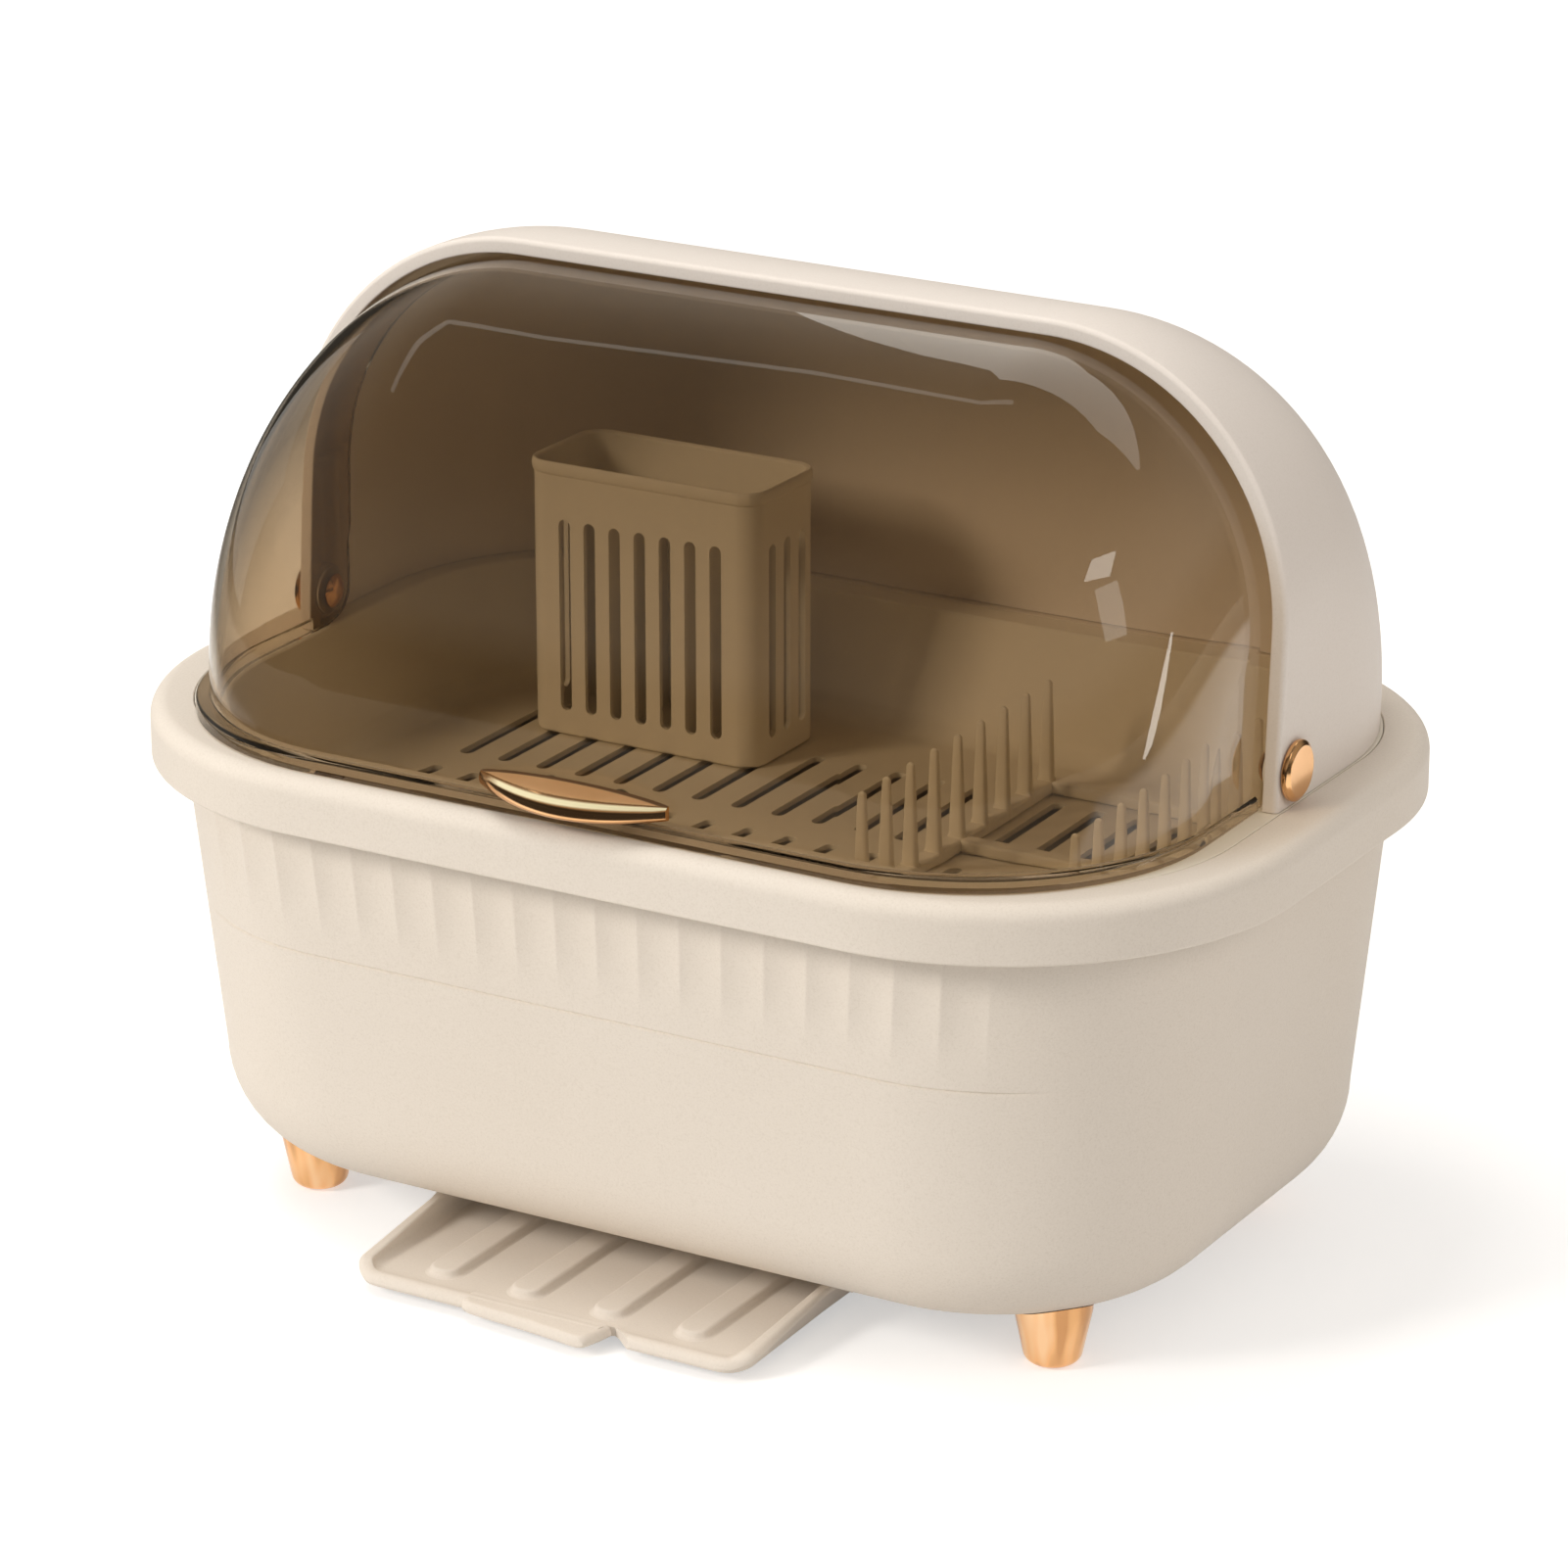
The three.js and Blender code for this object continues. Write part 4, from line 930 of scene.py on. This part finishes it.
# Plate rack

BASKET_REST = BASKET_FLOOR + GAP
PLATE_PLACE = (108, 10, BASKET_REST)
PEGS = 9
PEG_PITCH = 17.5
BAR = 3.5  # half the width of the rack's bars


def peg(x, y):
    levels = [(2.0, 1.25), (5.2, 1.2), (6.2, 1.03), (12, 0.95), (24, 0.8), (36, 0.64), (41, 0.56)]
    for t in np.linspace(0, math.pi / 2, 6)[1:]:
        levels.append((42.2 + 1.8 * math.sin(t), max(0.05, 0.54 * math.cos(t))))
    loop = []
    for t in np.linspace(0, 2 * math.pi, 16, endpoint=False):
        loop.append([math.copysign(abs(v) ** 0.7, v) for v in (math.cos(t), math.sin(t))])
    return capped([[(x + 3.0 * k * c, y + 2.0 * k * s, z) for c, s in loop] for z, k in levels])


def make_plate_rack():
    skin = Skin()
    for x in (-42, 42):
        skin.add(soft_box((x - BAR, -75, 0), (x + BAR, 75, 5), 1.3))
        for i in range(PEGS):
            skin.add(peg(x, (i - 4) * PEG_PITCH))
    for y in (-71.5, 0, 71.5):
        skin.add(soft_box((-42, y - BAR, 0), (42, y + BAR, 4.9), 1.3))
    return make_object("plate_comb", placed(skin, PLATE_PLACE))


dress(make_plate_rack(), "plates", inner_cream, "plate_rack")


# Cutlery cage

CAGE = (50.0, 24.0, 9.0)
CAGE_X, CAGE_Y = -88, 68
CAGE_PLACE = (CAGE_X, CAGE_Y, BASKET_REST)
CAGE_WALL = 2.0
CAGE_SLOT = (38, 2.5)
CAGE_SLOT_PITCH = 11
CAGE_SLOT_Z = 48 + BASKET_REST
CELL = 100 / 3


def cage_body():
    stops = outline_stops(9, 5, 8)
    rows = []

    def add(z, inset):
        rows.append(outline(stops, *CAGE, z, inset))

    for c, s in arc(3)[::-1]:
        add(1.5 * s, 1.5 * c)
    for z in (36, 72, 101):
        add(z, 0.0)
    for t in np.linspace(-math.pi / 2, math.pi / 2, 9):
        add(105.4 + 2.6 * math.sin(t), -0.9 * math.cos(t))
    add(107.6, 1.4)
    add(106.8, CAGE_WALL)
    add(50, CAGE_WALL)
    for c, s in arc(3):
        add(2.0 + 1.2 * s, CAGE_WALL + 1.2 * c)
    return placed(capped(rows), CAGE_PLACE)


def make_cage():
    obj = make_object("cutlery_holder", cage_body())
    slots = Skin()
    for i in range(7):
        place = ((i - 3) * CAGE_SLOT_PITCH + CAGE_X, CAGE_Y, CAGE_SLOT_Z)
        slots.add(stadium(*CAGE_SLOT, -27, 27), place, LYING_Y)
    for i in range(3):
        place = (CAGE_X, (i - 1) * CAGE_SLOT_PITCH + CAGE_Y, CAGE_SLOT_Z)
        slots.add(stadium(*CAGE_SLOT, -53, 53), place, LYING_X)
    cut(obj, slots)
    floor = Skin()
    for i in range(3):
        for side in (-1, 1):
            place = ((i - 1) * CELL + CAGE_X, CAGE_Y + side * 12, BASKET_REST)
            floor.add(stadium(8.3, 2.5, -1, 3.5), place, QUARTER)
    cut(obj, floor)
    walls = Skin()
    for x in (-CELL / 2, CELL / 2):
        walls.add(soft_box((x - 1, -22.8, 1), (x + 1, 22.8, 86), 0.5, 2))
    return join(obj, placed(walls, CAGE_PLACE))


dress(make_cage(), "cage", inner_cream, "cutlery_cage")


# Hood. From here lengths are from the hinge axis.

HOOD = (205.0, 147.9, 97.0)
VISOR = (197.2, 141.2, 94.0)
VISOR_WALL = 2.6
COVER_FOOT = -12.5
FACE_Y = -11.7
FACE_LEAN = 0.063
CORNER_STEPS = 34
TOP_STEPS = 20
FLAT_STEPS = 8


def arch(half, radius, corner):
    """Pairs of x and distance from the axis along a dome's outline, between its flat sides."""
    turns = np.linspace(0, math.pi / 2, CORNER_STEPS + 1)
    side = [(half - corner + corner * math.cos(t), radius - corner + corner * math.sin(t))
            for t in turns]
    top = np.linspace(-(half - corner), half - corner, TOP_STEPS + 1)[1:-1]
    return [(-x, r) for x, r in side] + [(x, radius) for x in top] + side[::-1]


def face_y(z, back):
    return FACE_Y + back + FACE_LEAN * z


def face_height(radius, back):
    """Height at which the hood's front plane, moved back, meets a circle round the axis."""
    a, k = FACE_Y + back, FACE_LEAN
    root = math.sqrt(4 * a * a * k * k - 4 * (1 + k * k) * (a * a - radius * radius))
    return (-2 * a * k + root) / (2 * (1 + k * k))


def hood_front_row(inset, back):
    half, radius, corner = (v - inset for v in HOOD)
    top = face_height(HOOD[1] - HOOD[2], back)
    levels = np.linspace(COVER_FOOT, top, FLAT_STEPS + 1)[:-1]
    left = [(-half, face_y(z, back), z) for z in levels]
    right = [(half, face_y(z, back), z) for z in levels[::-1]]
    line = [(x, face_height(r, back)) for x, r in arch(half, radius, corner)]
    return left + [(x, face_y(z, back), z) for x, z in line] + right


def swept(size, inset, ends, steps):
    """Rows over a dome, between the two turns round the axis that a radius has as its ends."""
    rows = []
    for share in np.linspace(0, 1, steps + 1)[1:]:
        row = []
        for x, r in arch(*(v - inset for v in size)):
            start, end = ends(r)
            t = start + (end - start) * share
            row.append((x, -r * math.cos(t), r * math.sin(t)))
        rows.append(row)
    return rows


def hood_shell_rows(inset, back):
    def ends(r):
        z = face_height(r, back)
        return math.atan2(z, -face_y(z, back)), math.pi + math.asin(-COVER_FOOT / r)

    return swept(HOOD, inset, ends, 56)


def shell_back(skin, first, rows):
    """Adds a shell's rows behind its front row and its two flat sides. Gives all the rows' ids."""
    count = len(rows[0])
    ids = [first[FLAT_STEPS:FLAT_STEPS + count]] + [skin.row(r) for r in rows]
    skin.ladder(ids)
    skin.face(first[:FLAT_STEPS] + [row[0] for row in ids])
    skin.face(first[FLAT_STEPS + count:][::-1] + [row[-1] for row in ids])
    return ids


def make_hood():
    skin = Skin()
    edge, small = 1.9, 0.8
    band, depth, wall = 5.9, 7.0, 2.6
    path = [(edge * c, edge * s) for c, s in arc(6)]
    path += [(band / 2 + 0.5, 0.0)]
    path += [(band - small + small * (1 - s), small * c) for c, s in arc(4)]
    path += [(band, depth - 0.5), (band - 0.5, depth), (wall, depth)]
    fronts = [skin.row(hood_front_row(inset, back)) for inset, back in path]
    skin.ladder(fronts)
    outer = shell_back(skin, fronts[0], hood_shell_rows(0.0, path[0][1]))
    inner = shell_back(skin, fronts[-1], hood_shell_rows(wall, depth))
    skin.bridge(outer[-1], inner[-1])
    for side in (0, -1):
        skin.face([row[side] for row in fronts] + [inner[-1][side], outer[-1][side]])
    boss = lathe(rounded([(0, 0), (10, 0), (10, 4.2), (0, 4.2)], 0.8, 3))
    for sign in (-1, 1):
        skin.add(boss, (sign * 198.9, 0, 0), outward(sign))
    return make_object("hood", skin, AXIS)


dress(make_hood(), "cover", hood_cream, "hood_shell")


# Visor

LIP = (198.4, 145.65, 90.0)
LIP_TOP = -7.1
LIP_BACK = -13.5
LIP_FLAT = 6  # steps along its straight ends
EAR = 12.0


def visor_rows(inset, low):
    return swept(VISOR, inset, lambda r: (-math.asin(-low / r), math.acos(-EAR / r)), 60)


def level_row(size, inset, z):
    """A dome's outline at a level, from the lip's back end on the left round to the right."""
    half, radius, corner = (v - inset for v in size)
    flat = radius - corner
    sides = np.linspace(LIP_BACK, -math.sqrt(flat * flat - z * z), LIP_FLAT + 1)[:-1]
    middle = [(x, -math.sqrt(r * r - z * z), z) for x, r in arch(half, radius, corner)]
    right = [(half, y, z) for y in sides[::-1]]
    return np.array([(-half, y, z) for y in sides] + middle + right)


def lip_rows():
    """Rows over the lip, from its root on the dome to its foot."""
    root_row = level_row(VISOR, 0.0, LIP_TOP)
    out = level_row(LIP, 0.0, 0.0) - root_row
    gap = np.linalg.norm(out[:, :2], axis=1, keepdims=True)
    toward = out * [1, 1, 0] / gap

    def step(distance, z):
        row = root_row + toward * distance
        row[:, 2] = z
        return row

    crown = np.maximum(gap - 1.6, 0.3 * gap)
    return [
        root_row,
        step(np.minimum(0.8, 0.2 * gap), LIP_TOP - 0.25),
        step(crown, LIP_TOP - 0.35),
        step(crown + (gap - crown) * 0.75, LIP_TOP - 0.9),
        step(gap, LIP_TOP - 1.9),
        step(gap, COVER_FOOT + 0.5),
        step(gap - np.minimum(0.5, 0.3 * gap), COVER_FOOT),
    ]


def make_visor():
    skin = Skin()
    count = len(arch(*VISOR))
    ids = [skin.row(r) for r in lip_rows()]
    skin.ladder(ids)
    bottom = ids[-1]
    foot = skin.row(level_row(VISOR, VISOR_WALL, COVER_FOOT))
    for i in range(1, len(foot) - 2):
        skin.face((bottom[i], bottom[i + 1], foot[i + 1], foot[i]))
    sheets = []
    for inset, low, base in ((0.0, LIP_TOP, ids[0]), (VISOR_WALL, COVER_FOOT, foot)):
        grid = [base[LIP_FLAT:LIP_FLAT + count]] + [skin.row(r) for r in visor_rows(inset, low)]
        skin.ladder(grid)
        sheets.append(grid)
    skin.bridge(sheets[0][-1], sheets[1][-1])
    turns = np.linspace(0, math.pi / 2, 9)
    ear = [(EAR, 30.0), (EAR, 15.0)] + [(EAR * math.cos(t), -EAR * math.sin(t)) for t in turns]
    ear += [(0, COVER_FOOT)]
    for side, sign in ((0, -1), (-1, 1)):
        outer_x, inner_x = sign * VISOR[0], sign * (VISOR[0] - VISOR_WALL)
        outer_ear = skin.row([(outer_x, y, z) for y, z in ear + [(LIP_BACK, COVER_FOOT)]])
        inner_ear = skin.row([(inner_x, y, z) for y, z in ear])
        flat = range(LIP_FLAT) if side == 0 else range(-1, -LIP_FLAT - 1, -1)
        skin.face([ids[0][i] for i in flat] + [row[side] for row in sheets[0]] + outer_ear)
        skin.face([foot[i] for i in flat] + [row[side] for row in sheets[1]] + inner_ear)
        a, b = flat[0], flat[1]
        skin.bridge([sheets[0][-1][side]] + outer_ear,
                    [sheets[1][-1][side]] + inner_ear + [foot[a]])
        skin.face([row[a] for row in ids] + [outer_ear[-1]])
        skin.face((bottom[a], bottom[b], foot[b], foot[a], outer_ear[-1]))
    return make_object("smoked_visor", skin, AXIS)


dress(make_visor(), "visor", smoke, "visor")


# Handle

HANDLE_X = 1.2
HANDLE_HALF = 37.6
HANDLE_DROP = 2.0
HANDLE_REACH = (2.4, 14.1)  # at the ends, and how much more in the middle
HANDLE_THICK = (5.0, 5.2)
HANDLE_SCREWS = {"left": -10.0, "right": 18.0}


def make_handle():
    """A crescent with a flat top, a polished round nose and tapered ends."""
    back = -VISOR[1] - GAP
    rows = []
    for along in np.sin(np.linspace(-math.pi / 2, math.pi / 2, 61)):
        bulge = 1 - along ** 2
        reach = HANDLE_REACH[0] + HANDLE_REACH[1] * bulge
        half = (HANDLE_THICK[0] + HANDLE_THICK[1] * bulge ** 0.8) / 2
        soft = min(reach * 0.6, half)
        x = HANDLE_X + along * HANDLE_HALF
        row = [(x, back, half), (x, back - 0.3, half)]
        flat = max(reach - soft * 1.15, 0.6)
        for s in (0.35, 0.7, 1.0):
            row.append((x, back - 0.3 - (flat - 0.3) * s, half - 0.5 * s * bulge))
        low = half - 0.5 * bulge
        for t in np.linspace(math.pi / 2, -math.pi / 2, 17):
            out = math.cos(t) ** 0.85 if math.cos(t) > 1e-9 else 0.0
            z = (low + half) / 2 * math.sin(t) + (low - half) / 2
            row.append((x, back - flat - (reach - flat) * out, z))
        row += [(x, back - flat * 0.5, -half), (x, back, -half)]
        rows.append([(px, py, pz - HANDLE_DROP) for px, py, pz in row])
    return make_object("handle", capped(rows), AXIS, sharp=38)


dress(make_handle(), "visor", handle_gold, "visor_handle")

seat = -math.sqrt((VISOR[1] - VISOR_WALL) ** 2 - 16) + GAP
for side, x in HANDLE_SCREWS.items():
    place = (x, seat, -HANDLE_DROP)
    screw = make_screw(f"screw_handle_{side}", VISOR[1] + seat + 5, BACKWARD, place, AXIS)
    dress(screw, "visor", zinc_plate, f"handle_screw_{side}")


# Hinge

INNER_SIDE = VISOR[0] - VISOR_WALL - GAP
PIN_START = HOOD[0] + GAP
PIN_LENGTH = PIN_START - (INNER_SIDE - 1.8)
RIVET = [(0, -PIN_LENGTH), (3, -PIN_LENGTH), (3, 0), (11, 0), (11, 2.0), (9.2, 3.2), (0, 3.3)]
CAP = [(0, -3), (1.6, -2.95), (3.2, -2.65), (4.7, -2.05), (5.9, -1.2),
       (6.5, -0.4), (6.5, 0), (3.3, 0), (3.3, -1.6), (0, -1.6)]
WASHER = [(3.3, 0.55), (3.3, 0), (9, 0), (9, 1.1), (3.3, 1.1), (3.3, 0.55)]
ring = Skin()
ring.rows(turned(rounded(WASHER, 0.2, 2)[:-1], 48), ring=True)
rivet = lathe(rounded(RIVET, 0.9, 5), 64)

for side, sign in SIDES:
    for name, skin, distance, material, slot, node in (
        ("rivet", rivet, PIN_START, rose_gold, "gold_metal", "hinge_pin"),
        ("rivet_cap", lathe(CAP), INNER_SIDE, rose_gold, "gold_metal", "hinge_cap"),
        ("washer", ring, VISOR[0] + GAP, inner_cream, "inner_plastic", "hinge_washer"),
    ):
        skin = placed(skin, (sign * distance, 0, 0), outward(sign))
        obj = make_object(f"{name}_{side}", skin, AXIS, sharp=30)
        dress(obj, "cover", material, f"{node}_{side}")


# Floor, world and lamps. From here lengths are in metres.

FLOOR_NEAR, FLOOR_FAR = -1.6, 3.5
FLOOR_Z = -0.0003
FLOOR_MIDDLE = (0.35, 0.45, 0)  # the mirrored floor dims with the distance from here
FLOOR_COLOUR = (0.80, 0.79, 0.78)


def make_floor():
    """A pale floor. What shiny pieces mirror of it darkens with the distance and to the front."""
    a, b = FLOOR_NEAR, FLOOR_FAR
    floor = mesh_object("floor", [(a, a, 0), (b, a, 0), (b, b, 0), (a, b, 0)], [(0, 1, 2, 3)])
    floor.location.z = FLOOR_Z
    n = new_material("pale floor")
    path = n.add("ShaderNodeLightPath").outputs
    away = n.math("DISTANCE", n.place, FLOOR_MIDDLE, "ShaderNodeVectorMath")
    front = n.span(n.split(n.place)["Y"], 0.99, 0.0, -0.26, -0.21)
    dim = n.math("MAXIMUM", n.span(away, 0.0, 0.99, 0.95, 1.3), front)
    dim = n.math("MULTIPLY", path["Is Glossy Ray"], dim)
    direct = n.math("LESS_THAN", path["Diffuse Depth"], 0.5)
    through = n.math("MULTIPLY", path["Is Transmission Ray"], direct)
    seen = n.math("MAXIMUM", path["Is Camera Ray"], through)
    seen = n.math("MAXIMUM", seen, n.math("SUBTRACT", path["Is Glossy Ray"], dim))
    glow = n.math("MULTIPLY", seen, n.span(away, 0.48, 0.95, 1.3, 2.6))
    n.set(Base_Color=n.mix(dim, FLOOR_COLOUR, (0.03, 0.03, 0.03)), Roughness=0.9,
          Specular_IOR_Level=0.0, Emission_Color=(1, 1, 1), Emission_Strength=glow)
    floor.data.materials.append(n.block)


def make_world():
    """White for the camera and plain for the light it gives. What shiny pieces mirror of it is
    dark near the horizon."""
    bpy.context.scene.world = world = bpy.data.worlds.new("studio")
    n = Nodes(world, "Background")
    path = n.add("ShaderNodeLightPath").outputs
    tone = n.mix(path["Is Glossy Ray"], (1, 0.985, 0.96), (1, 0.91, 0.79))
    tone = n.mix(path["Is Camera Ray"], tone, (1, 1, 1))
    height = n.split(n.coordinates["Generated"])["Z"]
    mirrored = n.ramp(height, (0.12, 0.04), (0.32, 0.38), (0.54, 0.34), (0.80, 0.15))
    level = n.span(path["Is Glossy Ray"], 0.42, mirrored)
    n.set(Color=tone, Strength=n.span(path["Is Camera Ray"], level, 1.0))


# Strips that stand where the visor mirrors them as the photograph shows: how much each glows, and
# the rows of points along its two edges
GLOWS = {
    "window_edge": (1.25, [
        (-1.651, -0.133, 2.284), (-1.679, 0.636, 2.147), (-1.506, 0.926, 2.16),
        (-1.356, 0.905, 2.248), (-1.156, 1.051, 2.234), (-0.859, 0.968, 2.403),
        (-0.499, 1.054, 2.494),
    ], [
        (-1.586, -0.201, 2.328), (-1.6, 0.544, 2.24), (-1.459, 0.851, 2.23),
        (-1.355, 0.845, 2.275), (-1.155, 0.99, 2.266), (-0.822, 0.902, 2.449),
        (-0.445, 0.977, 2.544),
    ]),
    "window_pane": (2.0, [
        (-1.194, 1.896, 1.413), (-1.135, 1.669, 1.748), (-1.087, 1.564, 1.877),
        (-0.86, 1.358, 2.173), (-0.176, 1.325, 2.412), (0.664, 1.153, 2.463),
        (1.357, 1.143, 2.167),
    ], [
        (-1.19, 1.93, 1.37), (-1.163, 2.03, 1.174), (-1.102, 2.021, 1.229),
        (-1.025, 1.976, 1.36), (-0.229, 1.827, 1.989), (0.547, 1.638, 2.156),
        (1.357, 1.2, 2.15),
    ]),
    "side_slit": (8.0, [
        (0.956, 0.272, 0.411), (0.982, 0.225, 0.329), (1.002, 0.167, 0.228),
        (1.007, 0.127, 0.147), (1.008, 0.108, 0.113),
    ], [
        (0.952, 0.287, 0.402), (0.973, 0.256, 0.311), (0.985, 0.222, 0.205),
        (0.994, 0.175, 0.132), (1.003, 0.127, 0.107),
    ]),
    "upper_light": (6.0, [
        (1.576, -0.087, 1.712), (1.653, -0.282, 1.611),
    ], [
        (1.651, 0.224, 1.608), (1.768, 0.046, 1.487),
    ]),
    "lower_light": (3.0, [
        (1.759, -0.193, 1.494), (1.898, -0.221, 1.279), (2.017, -0.209, 1.04),
    ], [
        (1.816, 0.113, 1.413), (1.958, 0.115, 1.169), (2.054, 0.101, 0.944),
    ]),
    "left_wall": (0.5, [
        (-2.6, -0.1, 0.02), (-2.45, 0.6, 0.02), (-2.2, 1.4, 0.02),
    ], [
        (-2.6, -0.1, 1.0), (-2.45, 0.6, 1.0), (-2.2, 1.4, 1.0),
    ]),
}


def make_glow(name, strength, left, right):
    """A glowing strip between two rows of points, which only shows in what mirrors it."""
    count = len(left)
    faces = [(i, i + 1, count + i + 1, count + i) for i in range(count - 1)]
    glow = mesh_object(name, left + right, faces)
    n = new_material(name)
    n.set(Base_Color=(0, 0, 0), Emission_Color=(1, 0.96, 0.88), Emission_Strength=strength)
    glow.data.materials.append(n.block)
    for ray in ("camera", "diffuse", "transmission", "volume_scatter", "shadow"):
        setattr(glow, f"visible_{ray}", False)


def lamp(name, place, aim, size, energy, colour):
    """A square lamp, which nothing mirrors."""
    data = bpy.data.lights.new(name, "AREA")
    data.energy = energy
    data.color = colour
    data.size = size
    obj = add_object(name, data)
    obj.location = place
    obj.rotation_euler = (Vector(aim) - Vector(place)).to_track_quat("-Z", "Y").to_euler()
    obj.visible_glossy = False
    obj.visible_transmission = False


bpy.context.scene.view_settings.view_transform = "Standard"
make_floor()
for name, strip in GLOWS.items():
    make_glow(name, *strip)
make_world()
lamp("key", (-1.95, -3.05, 2.15), (0, 0, 0.15), 1.1, 81, (1.0, 0.965, 0.92))
lamp("fill", (3.0, 0.4, 2.0), (0, 0, 0.15), 1.6, 19, (1.0, 0.89, 0.80))
lamp("top", (-0.7, -0.1, 2.8), (0, 0, 0.2), 1.4, 29, (1.0, 0.97, 0.93))
